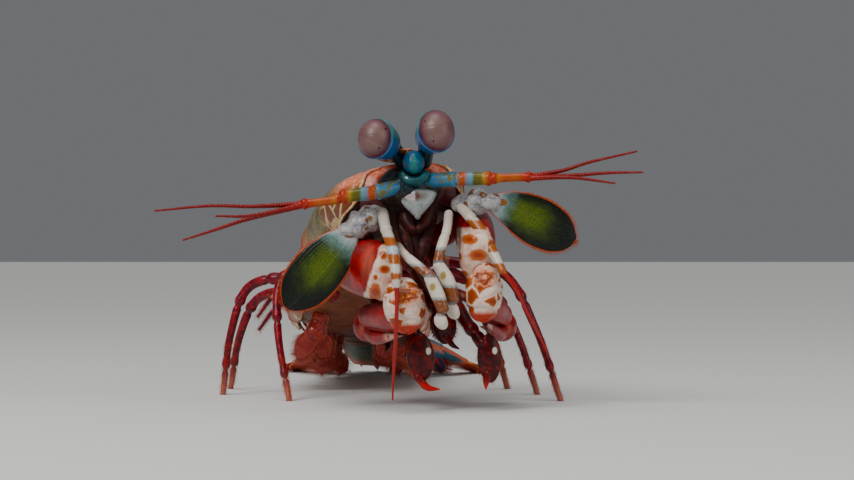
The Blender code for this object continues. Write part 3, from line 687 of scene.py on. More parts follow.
def tergite_shape(flare, dents):
    def shape(t, c, d, edge):
        rim = flare * t**3 - 0.9 * (1 - t) ** 2 + 0.16 * hump(t, 0.97, 0.05)
        crease = -0.14 * hump(t, 0.2, 0.05) - 0.1 * hump(abs(c), 0.8, 0.04) * t
        bead = 0.14 * hump(edge, 0, 0.015)
        back = -0.9 * (1 - t) * hump(c, 0, 0.7) + dents * t * max(0, 0.2 - d) ** 1.2
        return rim + crease + bead - 0.1, back

    return shape


for name, start, end, hang in THORAX:
    plate = hood(start, end, lambda t: hang * (0.35 + 0.65 * sin(pi * min(1, t * 1.1) ** 0.8)),
                 tergite_shape(0.35, 0), 24, 84)
    plate.piece(f"{name}_plate", tergite_cuticle, "shell", name)
for ring in range(6):
    hang = 37 if ring < 5 else 26
    plate = hood(RINGS[ring] - 1.4, RINGS[ring + 1] + 0.75,
                 lambda t: hang * (0.45 + 0.55 * sin(pi * min(1, 0.08 + t * 0.86) ** 1.1)),
                 tergite_shape(0.5 if ring < 5 else -1.6, 1.6), 30, 100)
    plate.piece(f"abdomen_{ring + 1}_plate", tergite_cuticle, "shell", f"abdomen_{ring + 1}")

# Eyes: each is a satin dome of tiny facets, crossed by a band of larger ones and
# set in a blue and green cup on a short movable stalk. Both are cast separately.

# Side, centre, where it looks, half sizes, root of the stalk, way across the band
EYES = (
    ("l", (4.2, -1, 56.1), (0.25, -0.933, 0.259), (3.7, 3.7, 4.3), (1.9, 7, 50.3), (-0.35, 0, 0.94)),
    ("r", (-7.8, -1, 54.6), (-0.416, -0.893, 0.174), (3.7, 3.6, 4), (-2.4, 7, 50.2), (0.41, 0, 0.91)),
)
# The dark spots that face the viewer: x, z and half size
PUPILS = {
    "l": ((2, 58, 0.17), (3.7, 54.9, 0.1), (3.7, 54, 0.19)),
    "r": ((-5.8, 56.5, 0.2), (-7.1, 52.6, 0.2)),
}


def cornea_paint(mark, centre, across):
    p = Paint(f"cornea_{mark}", coat=0.2, polish=0.35)
    over = p.node("VectorMath", {"operation": "DOT_PRODUCT"}, {0: p.place - centre, 1: across}, "Value")
    middle = p.band(over, -0.85, 0.85, 0.1)
    stripes = p.smooth(p.wave(over * 19), 0.2, 0.9)
    dust = p.clouds(0.35)
    colour = p.layers(
        (104, 66, 72),
        # Paler and greyer in the middle, facing the front: partly the eye's own colour, partly painted
        # shading of the dome
        (p.near(centre, (2.6, 9, 2.9), 0.8, 0.6) * 0.8, (118, 92, 84)),
        (p.smooth(dust, 0.45, 0.7) * 0.5, (112, 84, 76)),
        (middle * stripes * 0.55, (52, 26, 38)),
        # Darker purple from the rim back: partly the eye's own colour, partly painted shading of the dome
        (p.smooth(p.along, 6.4, 4), (72, 14, 46)),
        *[
            (p.near((x, -4.6, z), (size, 6, size), soft=0.35), (14, 8, 14))
            for x, z, size in PUPILS[mark]
        ],
    )
    facets = p.cells(0.14, "F1", random=0.15)
    return p.finish(colour, 0.36, facets, 0.012)


def cup_paint(mark, centre, reach):
    p = Paint(f"eye_cup_{mark}", coat=0.3)
    green = p.smooth(p.height() + p.clouds(1.5) * 2, centre[2] - 0.6, centre[2] + 2.6)
    specks = p.blots(0.35, 0.6, 0.72, 2)
    colour = p.layers(
        (14, 76, 132),
        (green, (14, 104, 92)),
        (p.smooth(p.along, 5.5, 2.6), (6, 34, 42)),
        (specks * 0.5, (84, 150, 158)),
        (p.band(p.along, reach - 0.7, reach - 0.4, 0.12) * 0.7, (96, 150, 186)),
        (p.smooth(p.along, reach - 0.2, reach + 0.2), (44, 14, 34)),
    )
    return p.finish(colour, 0.4, p.clouds(0.3, 4), 0.06)


for mark, centre, look, sizes, root, across in EYES:
    dome = Form()
    facing = Vector(look).normalized()
    dome.ball(centre, look, sizes, 40, 64, relief=lambda lift, turn: -0.012 * hump(sin(turn), 0, 0.1))
    dome.piece(f"cornea_{mark}_dome", cornea_paint(mark, centre, across), "cornea", f"cornea_{mark}")
    middle, start = Vector(centre), Vector(root)
    stations = [
        (*start, 1.5),
        (*(middle - facing * 6.6), 2, 2.1),
        (*(middle - facing * 4.8), 3.1, 3.3),
        (*(middle - facing * 2.6), 3.5, 3.8),
        (*(middle - facing * 0.1), sizes[1] + 0.12, sizes[2] + 0.12),
        (*(middle + facing * 0.5), sizes[1] + 0.02, sizes[2] + 0.02),
    ]
    reach = sum(dist(a[:3], b[:3]) for a, b in zip(stations, stations[1:]))
    cup = Form()
    folds = lambda t, d, turn: 0.08 * hump(d, reach - 0.5, 0.22) - 0.12 * hump(t, 0.42, 0.04)
    cup.tube(stations, 44, 56, caps=(1, 0.02), relief=folds)
    cup.piece(f"eye_cup_{mark}", cup_paint(mark, centre, reach), "head_skin", f"eye_stalk_{mark}")

# Rostral plate: the small hinged shield over the roots of the eyes, with a
# rounded point and a raised keel.


def keel_and_rim(t, d, turn):
    keel = 0.25 * hump(turn, pi / 2, 0.14) * (1 - t)
    return keel + 0.1 * hump(abs(cos(turn)), 1, 0.05)


rostrum = Form()
path = [rib(6.2, 0, 6, 4.8, 0.75), rib(3, 0, 6.3, 3.9, 0.7), rib(0.2, 0, 6.2, 1.3, 0.5)]
rostrum.tube(path, 26, 40, relief=keel_and_rim)
rostrum.piece("rostral_plate_shield", cuticle, "shell", "rostral_plate")

# Head: the blue-green block between the eyes and the feelers, with a smooth
# knob at its middle and a curved collar below the knob.


def head_paint(name, ground, *coats):
    """Each coat is a colour and the function that makes its mask."""
    p = Paint(name, coat=0.12, polish=0.3)
    grain = p.clouds(0.5, 4)
    made = [(mask(p), colour) for mask, colour in coats]
    colour = p.layers(ground, (p.blots(1.4, 0.42, 0.65) * 0.6, (8, 40, 46)), *made)
    return p.finish(colour, 0.4, grain, 0.08)


# The block's ground is near-black teal: painted shade, for where it sits deep between the eyes and under
# the shield. Lower down it turns dark brown.
teal = head_paint(
    "head_teal", (7, 28, 36),
    (lambda p: p.smooth(p.height() + p.clouds(1.4) * 2, 45.8, 43.6), (34, 12, 9)),
    (lambda p: p.blots(0.3, 0.62, 0.74, 2) * 0.7, (150, 178, 190)),
)
block = Form()
path = [rib(1.6, 0, -1.2, 4.6, 4.2), rib(3.6, 0, -1, 5.8, 4.8), rib(6.1, 0, -0.8, 6.8, 5)]
uneven = lambda t, d, turn: 0.35 * noise.noise(Vector((cos(turn) * 2.2, sin(turn) * 2.2, t * 2)))
block.tube(path, 22, 60, caps=(0.5, 0), relief=uneven)
block.piece("head_block", teal, "head_skin", "head")
knob = Form()
oval = lambda lift, turn: 0.02 * cos(2 * turn)
knob.ball((-0.3, 2.9, 50), (0, -1, 0), (2.7, 2.15, 2.5), 22, 40, relief=oval)
knob.piece("head_knob", head_paint(
    "knob_blue", (14, 84, 124),
    (lambda p: p.near((-0.2, 0.3, 49.2), (0.9, 9, 2), 0.7, 0.5), (16, 108, 106)),
), "head_skin")
collar = Form(AWAY)
arc = []
for k in range(15):
    turn = radians(200 + 140 * k / 14)
    ahead = 0.9 * sin(pi * k / 14)
    arc.append((-0.1 + 2.5 * cos(turn), 2.6 - ahead, 48 + 1.9 * sin(turn), 0.9, 1))
collar.tube(arc, 44, 28, relief=lambda t, d, turn: -0.12 * hump(sin(turn), -0.2, 0.15))
collar.piece("head_collar", head_paint(
    "collar_teal", (10, 78, 82),
    # A small white dot on the collar: a painted highlight where a glint falls
    (lambda p: p.near((-1.7, 0.6, 46.9), (0.25, 3, 0.2), soft=0.4), (200, 214, 212)),
    (lambda p: p.near((0.3, 0.6, 47.5), (1.4, 3, 0.3), soft=0.6), (36, 118, 132)),
), "head_skin")

# Labrum and mouthparts: a stiff pale flap over the mouth with a grey-brown
# blotch, and under it the dark red jaws and the folded feeding plates.
pale_flap = Paint("labrum_white", coat=0.3)
pale_flap.finish(pale_flap.layers(
    (136, 142, 140),
    (pale_flap.near((-0.7, 2, 43.2), (2.4, 6, 0.9), 0.9, 0.6), (82, 44, 32)),
    (pale_flap.blots(0.8, 0.5, 0.7) * 0.6, (92, 92, 92)),
), 0.35, pale_flap.clouds(0.4), 0.05)
flap = Form(AWAY)
path = [(0.4, 3.4, 43.6, 4, 1.3), (0.4, 2.6, 41.5, 2.8, 1.3), (0.5, 2.2, 39.1, 0.6, 0.8)]
ridge = lambda t, d, turn: 0.22 * hump(cos(turn), 0, 0.2) * (sin(turn) < 0)
flap.tube(path, 22, 40, relief=ridge)
flap.piece("labrum_flap", pale_flap, "head_skin", "labrum")
maroon = Paint("mouth_maroon", coat=0.12, polish=0.3)
maroon.finish(maroon.layers(
    (42, 6, 5), (maroon.blots(1.3, 0.45, 0.65), (78, 22, 14)),
    (maroon.blots(0.4, 0.62, 0.74) * 0.3, (104, 50, 36)),
), 0.6, maroon.clouds(0.6), 0.15)
jaws = Form(AWAY)
for way in (-1, 1):
    jaws.tube([
        (0.4 + way * 2.6, 7.4, 41.4, 1.6), (0.2 + way * 1.9, 6, 38.2, 1.5, 1.7),
        (0.1 + way * 0.5, 4.6, 36.4, 0.8, 1.1),
    ], 16, 20)
    for fold in range(3):
        top, spread = 39.4 - 1.6 * fold, way * (1 - 0.16 * fold)
        jaws.tube([
            (0.3 + spread * 3.3, 7.8, top, 1, 0.9),
            (0.2 + spread * 2.5, 6.2 - 0.3 * fold, top - 2.8, 1.25, 0.8),
            (0.1 + spread, 5.4, top - 6.2, 0.6, 0.5),
        ], 20, 18)
throat = [(0, 9.4, 38, 3, 2.8), (0.2, 8.2, 34.6, 3, 2.6), (0.2, 7, 31, 2, 1.6)]
jaws.tube(throat, 14, 28)
jaws.piece("mouth_jaws", maroon, "maxillipeds", "mouthparts")


# Antennules: three jointed lengths each, banded blue, orange, pale blue, olive
# and yellow, ending in three red whips made of many short rings.


def feeler_paint(mark, way, shift):
    p = Paint(f"antennule_{mark}", coat=0.1, polish=0.25)
    out = p.split(p.place)[0] * way - shift + p.stir(1.2, 0.5)
    first, span = 2.6, 24
    bands = (
        (first, (38, 92, 128)), (7.5, (58, 118, 148)), (8.1, (150, 74, 10)), (9.1, (164, 60, 6)),
        (9.8, (78, 122, 142)), (10.5, (88, 132, 146)), (11.1, (82, 78, 10)), (12.4, (90, 86, 12)),
        (13.1, (156, 116, 20)), (13.9, (162, 42, 1)), (15.3, (148, 30, 1)), (16, (168, 94, 4)),
        (17.4, (162, 60, 2)), (19.4, (160, 76, 3)), (21.2, (160, 34, 1)), (22.6, (144, 8, 1)),
        (first + span, (118, 1, 1)),
    )
    stops = [((place - first) / span, shade) for place, shade in bands]
    colour = p.ramp((out - first) / span, *stops)
    spots = p.smooth(p.cells(1.9, "F1", random=0.9) + p.stir(0.6, 0.2), 0.44, 0.34)
    colour = p.layers(
        colour,
        (spots * p.smooth(out, 7.8, 7.2) * 0.9, (104, 96, 26)),
        (p.smooth(out, 27, 40) * 0.6, (118, 2, 4)),
        (p.blots(0.4, 0.6, 0.75) * 0.2, (236, 196, 130)),
    )
    rings = p.wave(p.along * 11) * p.smooth(out, 22.6, 23.6)
    return p.finish(colour, 0.34, rings * 0.5 + p.clouds(0.5) * 0.5, 0.07)


# Side, way out, shift of the bands, and the stations of the stem and of the whips
ANTENNULES = (
    ("r", -1, 0, (
        (-2.6, 4, 45.4, 1.5), (-8, 1.5, 44, 1.5), (-13.6, 0.5, 43.2, 1.25),
        (-15, 0.3, 42.8, 1.3), (-16.4, 0.2, 42.35, 0.9), (-22.2, 0, 41.6, 0.85),
        (-23.2, 0, 41.5, 0.75),
    ), (
        ((-22.6, 0, 41.6, 0.6), (-32.4, -0.5, 41.1, 0.42), (-41, -1.5, 41.2, 0.34), (-51.6, -3, 40.2, 0.2)),
        ((-22.4, 0, 41.3, 0.6), (-33.8, -2.5, 38.4, 0.42), (-39.4, -4, 36.5, 0.34), (-45.8, -5, 34.4, 0.2)),
        ((-22.4, -0.2, 41.4, 0.6), (-32.4, -4, 39.2, 0.38), (-39.2, -6.5, 39.1, 0.2)),
    )),
    ("l", 1, 0.7, (
        (2.8, 4, 46.4, 1.5), (8, 1.5, 46.6, 1.5), (14.2, 0.5, 46.7, 1.25),
        (15.6, 0.3, 46.7, 1.3), (17, 0.2, 46.8, 0.9), (22.8, 0, 47, 0.85),
        (23.8, 0, 47, 0.75),
    ), (
        ((23.2, 0, 47.1, 0.6), (29.6, -0.5, 48.3, 0.42), (34.4, -1.5, 49.8, 0.34), (44, -3, 52, 0.2)),
        ((23.2, 0, 46.8, 0.6), (32, -2, 47.3, 0.42), (38, -3.5, 47.7, 0.34), (45, -5, 47.8, 0.2)),
        ((23.2, -0.2, 46.8, 0.6), (31, -3.5, 46.8, 0.38), (39.4, -6.5, 45.6, 0.2)),
    )),
)
# Each rise is a height, a distance along the stem and a width, in mm
KNUCKLES = (
    (0.22, 12.6, 0.5), (-0.26, 13.4, 0.25), (-0.3, 6.1, 0.16), (0.16, 5.5, 0.4), (0.32, 20.6, 0.45),
    (-0.12, 6.9, 0.3),
)
for mark, way, shift, stem, whips in ANTENNULES:
    feeler = Form()
    feeler.tube(stem, 130, 28, relief=swells(*KNUCKLES, by=1))
    for whip in whips:
        feeler.tube(whip, 90, 10, far=22)
    feeler.piece(f"antennule_{mark}_feeler", feeler_paint(mark, way, shift), "feelers", f"antennule_{mark}")

# Antennal scales: a broad stiff blade on a lumpy whitish base at each side of the
# head. The blade is speckled green, dark at its tip, with a beaded orange rim
# and a fringe of fine bristles along it.


def base_paint():
    p = Paint("scale_base_lilac", coat=0.3, polish=0.2)
    spots = p.smooth(p.cells(2.7, "F1", random=0.8) + p.stir(0.8, 0.25), 0.42, 0.34)
    colour = p.layers(
        (168, 166, 164),
        (p.blots(1.8, 0.5, 0.66) * 0.6, (112, 120, 138)),
        (spots * 0.95, (118, 74, 18)),
        (p.blots(0.5, 0.58, 0.7) * 0.6, (204, 202, 196)),
        (p.smooth(p.cells(2.4, at=p.place + p.clouds(1) * 2), 0.05, 0.01) * 0.6, (66, 56, 64)),
    )
    return p.finish(colour, 0.35, p.clouds(0.5, 4), 0.1)


def blade_paint(mark, long):
    p = Paint(f"scale_blade_{mark}", coat=0.12, polish=0.25)
    across = p.aside()
    share = p.along / long
    specks = p.dots(0.42, 0.34, 0.2)
    rays = p.wave(p.side * 46 + p.clouds(2) * 3)
    tip = p.smooth(share + p.stir(2.5, 0.3) + across * 0.14, 0.55, 0.95)
    edge = p.smooth(across, 0.955, 0.985).most(p.smooth(share, 0.985, 1.01))
    glow = p.smooth(across + p.clouds(1.2) * 0.3, 0.95, 0.2)
    glow = glow * p.smooth(share, 0.16, 0.34) * p.smooth(share, 0.82, 0.5)
    patches = p.near((-13.2, 3, 35.6), (1.2, 4, 0.8), 0.4)
    patches = patches.most(p.near((17.4, 3, 42), (1.2, 4, 0.7), 0.4))
    colour = p.layers(
        (26, 44, 1),
        (p.blots(1.6, 0.4, 0.65) * 0.7, (52, 70, 2)),
        (glow * 0.75, (84, 102, 2)),
        (specks * 0.85, (14, 34, 2)),
        (tip, (4, 9, 5)),
        (tip * specks * 0.5, (12, 44, 12)),
        (p.smooth(across + p.clouds(1.5) * 0.2, 0.6, 1.05) * 0.9, (7, 6, 2)),
        (p.smooth(share + p.clouds(1.5) * 0.15, 0.4, 0.16) * 0.85, (112, 148, 146)),
        (p.smooth(share + p.clouds(1.5) * 0.15, 0.28, 0.1), (176, 184, 184)),
        (patches, (134, 80, 14)),
        (edge, (190, 70, 4)),
    )
    return p.finish(colour, 0.38, rays * 0.3 + specks * 0.6, 0.06)


# Side, stations of the base and stations of the blade
SCALES = (
    ("r", ((-8.2, 6, 39.4, 2.3), (-10.8, 4.6, 37.8, 2.9), (-14, 3.8, 36.4, 1.8, 1.6)), (
        (-12.6, 3.8, 36.2, 1.6, 0.7), (-15.6, 3.4, 32.8, 4, 0.6), (-19.2, 3, 28.6, 5.2, 0.5),
        (-22.8, 2.8, 24.4, 4.7, 0.4), (-24.6, 2.8, 22.2, 3.1, 0.35), (-25.6, 2.8, 20.9, 1.3, 0.3),
        (-25.8, 2.8, 20.6, 0.5, 0.3),
    )),
    ("l", ((8.8, 6.8, 41.6, 1.5), (12.2, 5, 42.1, 2.5, 2.6), (16, 3.8, 42, 1.8, 1.6)), (
        (15, 3.8, 42.1, 1.5, 0.7), (19.6, 3.4, 40.6, 3.7, 0.6), (24.4, 3, 38.2, 4.9, 0.5),
        (28.4, 2.8, 36, 4.4, 0.4), (30.6, 2.8, 34.8, 3, 0.35), (31.8, 2.8, 34.2, 1.3, 0.3),
        (32.1, 2.8, 34, 0.5, 0.3),
    )),
)


def bristle_paint(name, root, tip, start, rough, coat=0):
    """A colour at the root of each bristle, turning into another at its tip."""
    p = Paint(name, coat=coat)
    return p.finish(p.blend(p.smooth(p.side, start, 1), root, tip), rough)


bristle = bristle_paint("bristle_orange", (160, 44, 2), (184, 84, 12), 0.2, 0.6, 0.2)
lilac = base_paint()


def fringe(form, slots, start, length, thick, per_mm, lean=0.7, droop=(0, 0, -0.1)):
    """Bristles along both edges of a blade and round its tip."""
    end, last = slots[-1], len(slots) - 1
    reach = end.d
    total = int(reach * (1 - start) * per_mm)
    for way in (-1, 1):
        for n in range(total):
            d = reach * (start + (1 - start) * (n + draw.random()) / total)
            i = min(int(d / reach * last), last - 1)
            share = d / reach * last - i
            a, b = slots[i], slots[i + 1]
            middle = a.centre.lerp(b.centre, share)
            wide = a.wide + (b.wide - a.wide) * share
            side = a.side * way
            root = middle + side * wide * 0.96 + a.top * draw.uniform(-0.1, 0.1)
            lie = side * (1 - lean * d / reach * 0.6) + a.along * (lean + draw.uniform(-0.12, 0.12))
            size = length * draw.uniform(0.75, 1.1)
            home = (0.02 + 0.45 * d / reach + (0.48 if way > 0 else 0), 0.1 + 0.8 * draw.random())
            form.hair(root, lie, size, droop, thick, home)
    total = int(end.wide * 3.1 * per_mm)
    for n in range(total):
        turn = pi * (n + draw.random()) / total
        over, on = end.side * cos(turn), end.along * sin(turn)
        root = end.centre + over * end.wide * 0.96 + on * end.high * 1.2
        lie = (over + on) * 0.7 + end.along * 0.5
        size = length * draw.uniform(0.8, 1.1)
        form.hair(root, lie, size, droop, thick, (0.48, 0.1 + 0.8 * draw.random()))


def beaded_rim(t, d, turn):
    rim = 0.13 * hump(abs(cos(turn)), 1, 0.02) * (1 + 0.5 * sin(d * 9))
    return rim + 0.12 * hump(cos(turn), 0.25, 0.05)


for mark, base, blade in SCALES:
    lumps = Form()
    wavy = lambda t, d, turn: 0.3 * sin(d * 1.7 + cos(turn) * 1.5) - 0.35 * hump(d, 2.9, 0.3)
    lumps.tube(base, 26, 30, relief=wavy)
    heel = Vector(base[1][:3])
    toe = heel.lerp(Vector(base[2][:3]), 0.7) + Vector((0, -0.8, -0.5))
    lumps.ball(heel + Vector((0, -1.6, 0.3)), (0.3, -1, 0), (1.6, 1.5, 1.4), 14, 24)
    lumps.ball(toe, (0.3, -1, 0.2), (1.3, 1.5, 1.2), 14, 24)
    lumps.piece(f"scale_base_{mark}", lilac, "feelers")
    leaf = Form(AWAY)
    slots = leaf.tube(blade, 90, 72, relief=beaded_rim)
    paint = blade_paint(mark, slots[-1].d)
    leaf.piece(f"scale_blade_{mark}_leaf", paint, "feelers", f"antennal_scale_{mark}")
    edge = Form()
    fringe(edge, slots, 0.3, 0.95, 0.04, 11, droop=(0, -0.12, -0.05))
    edge.piece(f"scale_fringe_{mark}", bristle, "feelers")

# Antennae: a thin stem of white joints banded with orange-brown at each side,
# ending in one short red whip.

# Side, stations of the stem and of the whip, and the shade below each height
ANTENNAE = (
    ("r", ((-6.6, 4.8, 39.8, 1.2), (-5.9, 1, 36.8, 1.1), (-4.7, -3.8, 33.4, 1.15),
           (-4.1, -6.6, 30.6, 1.05), (-3.7, -8.2, 27, 0.95), (-3.6, -8.6, 25.2, 0.7)),
     ((-3.6, -8.5, 26, 0.55), (-3.5, -8.8, 22.4, 0.42), (-3.7, -8.7, 16.8, 0.4),
      (-4.1, -8.2, 9.2, 0.32), (-4.4, -7.6, 3, 0.18)),
     ((35, 1), (33.2, 2), (31.6, 1), (29.6, 0), (27.9, 1), (26.6, 0), (25.1, 3))),
    ("l", ((9.2, 6, 41.4, 1.2), (11.2, 2, 38.8, 1.1), (13.4, 0, 36, 1.15),
           (15.6, -2, 31.8, 1.05), (17.4, -4.6, 28.2, 0.8)),
     ((17.2, -4.6, 28.6, 0.5), (20, -6, 24.6, 0.4), (22.2, -6.4, 20, 0.34), (26, -7, 12.6, 0.18)),
     ((38.4, 1), (36.4, 0), (34.6, 1), (32, 0), (29.8, 1), (27.8, 3))),
)
SHADES = ((192, 182, 168), (150, 76, 10), (166, 178, 190), (146, 4, 4))
for mark, stem, whip, bands in ANTENNAE:
    p = Paint(f"antenna_{mark}", coat=0.35, polish=0.2)
    height = p.height() + p.stir(1, 0.8)
    colour = SHADES[0]
    for top, shade in bands:
        colour = p.blend(p.smooth(height, top + 0.25, top - 0.25), colour, SHADES[shade])
    rings = p.wave(p.along * 12) * p.smooth(height, 25.4, 24.6)
    p.finish(colour, 0.35, rings * 0.4 + p.clouds(0.5), 0.06)
    stalk = Form(AWAY)
    stalk.tube(stem, 60, 24, relief=swells(
        (-0.22, 0.3, 0.015), (-0.22, 0.66, 0.015), (0.14, 0.27, 0.03), (0.14, 0.63, 0.03)))
    stalk.tube(whip, 110, 10, far=20)
    stalk.piece(f"antenna_{mark}_stem", p, "feelers", f"antenna_{mark}")


# Raptorial limbs: the big striking pair, of thick glossy cuticle. Each has an
# inner joint, a deep merus, a knuckle-like carpus, a propodus folded back under
# the merus, and a toothed dactyl with a swollen heel. They are cast joint by
# joint and painted red outside and white with orange-brown spots in front.


def raptorial_ground(name):
    p = Paint(name, coat=0.15, polish=0.15)
    red = p.layers(
        (126, 0, 6),
        (p.blots(3, 0.42, 0.62), (160, 1, 3)),
        (p.blots(1.2, 0.55, 0.7) * 0.6, (82, 0, 9)),
    )
    return p, red


def leopard(p, size, seed, amount):
    """White skin broken into orange-brown patches with pale rims."""
    warp = p.warped(0.6, 1.4) + seed
    cell = p.split(p.node("TexVoronoi", {}, {"Vector": warp, "Scale": 1 / size}, "Color"))[0]
    edge = p.cells(size, at=warp)
    patch = p.smooth(cell, 1 - amount - 0.02, 1 - amount + 0.02) * p.smooth(edge, 0.07, 0.12)
    deep = patch * p.smooth(edge, 0.12, 0.3)
    white = p.blend(p.blots(1.3, 0.45, 0.65) * 0.6, (222, 200, 182), (206, 160, 146))
    return p.layers(white, (patch, (176, 82, 12)), (deep * 0.75, (124, 40, 4))), edge


def merus_paint(mark):
    p, red = raptorial_ground(f"merus_{mark}")
    x, y, z = p.split(p.place)
    wave = p.stir(1.5, 0.9)
    if mark == "l":
        inside = p.smooth(x + (z - 28) * 0.2 + wave, 16.8, 16.2)
        low, spots = 36.9, (
            (10.9, 34.5, 1.6, 1.1), (12.6, 31.4, 1.9, 1.2), (8.6, 31, 0.8, 1),
            (15.2, 33.6, 0.7, 1.1), (9.6, 27.4, 1, 0.9),
        )
    else:
        inside = p.smooth(x + (32.5 - z) * 0.34 + wave, -7.4, -6.8)
        low, spots = 33.4, (
            (-6.3, 31.4, 0.8, 1), (-6, 28.6, 1.2, 0.9), (-2.6, 30.4, 0.7, 1),
            (-7.9, 24, 1.3, 2), (-7.8, 27, 0.5, 0.6),
        )
    front = inside * p.smooth(y, 13, 8) * p.smooth(z + wave, low + 0.3, low - 0.3)
    white = p.blend(p.blots(1.6, 0.42, 0.62), (222, 198, 178), (206, 160, 144))
    for sx, sz, wide, high in spots:
        white = p.blend(p.near((sx, 0, sz), (wide, 14, high), 0.45), white, (178, 84, 12))
        white = p.blend(p.near((sx, 0, sz), (wide * 0.5, 14, high * 0.45), 0.5, 0.5), white, (146, 42, 4))
    sheen = p.near((-9.2, 6, 30), (1.4, 14, 3.2), 0.5, 0.6) * 0.6
    colour = p.layers(red, (sheen, (188, 96, 74)), (front, white))
    return p.finish(colour, 0.32, p.clouds(0.8, 4), 0.1)


def carpus_paint(mark):
    p, red = raptorial_ground(f"carpus_{mark}")
    skin, edge = leopard(p, 2.5, 3 if mark == "l" else 7, 0.74)
    eye, drop = ((13.7, -4, 27), 6.4) if mark == "l" else ((-1.4, -6, 23.4), 5)
    x, y, z = p.split(p.place)
    ring = p.wave(p.length((p.place - eye) / (1.3, 4, 0.9)) * 3.6 + p.clouds(0.9) * 9)
    knot = p.near(eye, (2.4, 9, 2), 0.9, 0.4)
    rim = p.smooth(z + p.stir(1, 0.8), eye[2] - drop, eye[2] - drop - 1.2)
    colour = p.layers(
        skin,
        (knot, (188, 88, 22)),
        (knot * p.smooth(ring, 0.3, 0.8) * 0.8, (84, 34, 26)),
        (knot * p.smooth(ring, -0.5, -0.9) * 0.6, (222, 178, 160)),
        (rim, (178, 42, 4)),
        (p.smooth(y, 1, 4), red),
    )
    return p.finish(colour, 0.28, p.smooth(edge, 0.02, 0.12) * 0.6 + ring * knot * 0.3, 0.14)


def arm_paint(mark):
    p, red = raptorial_ground(f"propodus_{mark}")
    edge = p.smooth(p.top, -0.95, -0.99)
    colour = p.layers(
        red, (edge * 0.3, (190, 90, 76)),
        (p.smooth(p.along, 3, 0.6) * 0.6, (140, 26, 6)),
        (p.blots(0.6, 0.6, 0.75) * 0.2, (176, 24, 22)),
    )
    return p.finish(colour, 0.4, p.clouds(0.7, 4), 0.06)


def claw_paint(mark, heel):
    p, red = raptorial_ground(f"dactyl_{mark}")
    # A pale patch on the front of the heel: a painted highlight
    glow = p.near(heel + Vector((0, -2.2, -0.6)), (1.6, 1.8, 1.3), 0.4, 0.6)
    tip = p.smooth(p.along, 14, 18)
    colour = p.layers(red, (glow * 0.7, (214, 120, 96)), (tip * 0.8, (206, 166, 148)))
    return p.finish(colour, 0.3, p.clouds(0.9), 0.05)


def merus_relief(t, d, turn):
    groove = -0.4 * hump(turn, 1.5 * pi, 0.3) * (1 - t)
    rim = 0.22 * hump(t, 0.93, 0.04) - 0.3 * hump(t, 0.86, 0.03)
    return groove + rim + 0.18 * hump(sin(turn), 0.93, 0.06) + 0.1 * sin(3 * turn + 2 * t)


def fist_relief(lift, turn, seed):
    bumps = 0.05 * noise.noise(Vector((cos(turn) * 1.6, sin(turn) * 1.6, lift * 1.8 + seed)))
    creases = -0.09 * hump(lift, 0.95, 0.1) - 0.05 * hump(lift, 2.2, 0.1)
    return bumps + creases + 0.03 * cos(2 * turn) + 0.03 * hump(lift, 2.6, 0.2)


def fold_relief(t, d, turn):
    groove = -0.5 * hump(turn, 1.5 * pi, 0.22) * (0.1 < t < 0.95)
    return groove + 0.15 * hump(t, 0.95, 0.05)


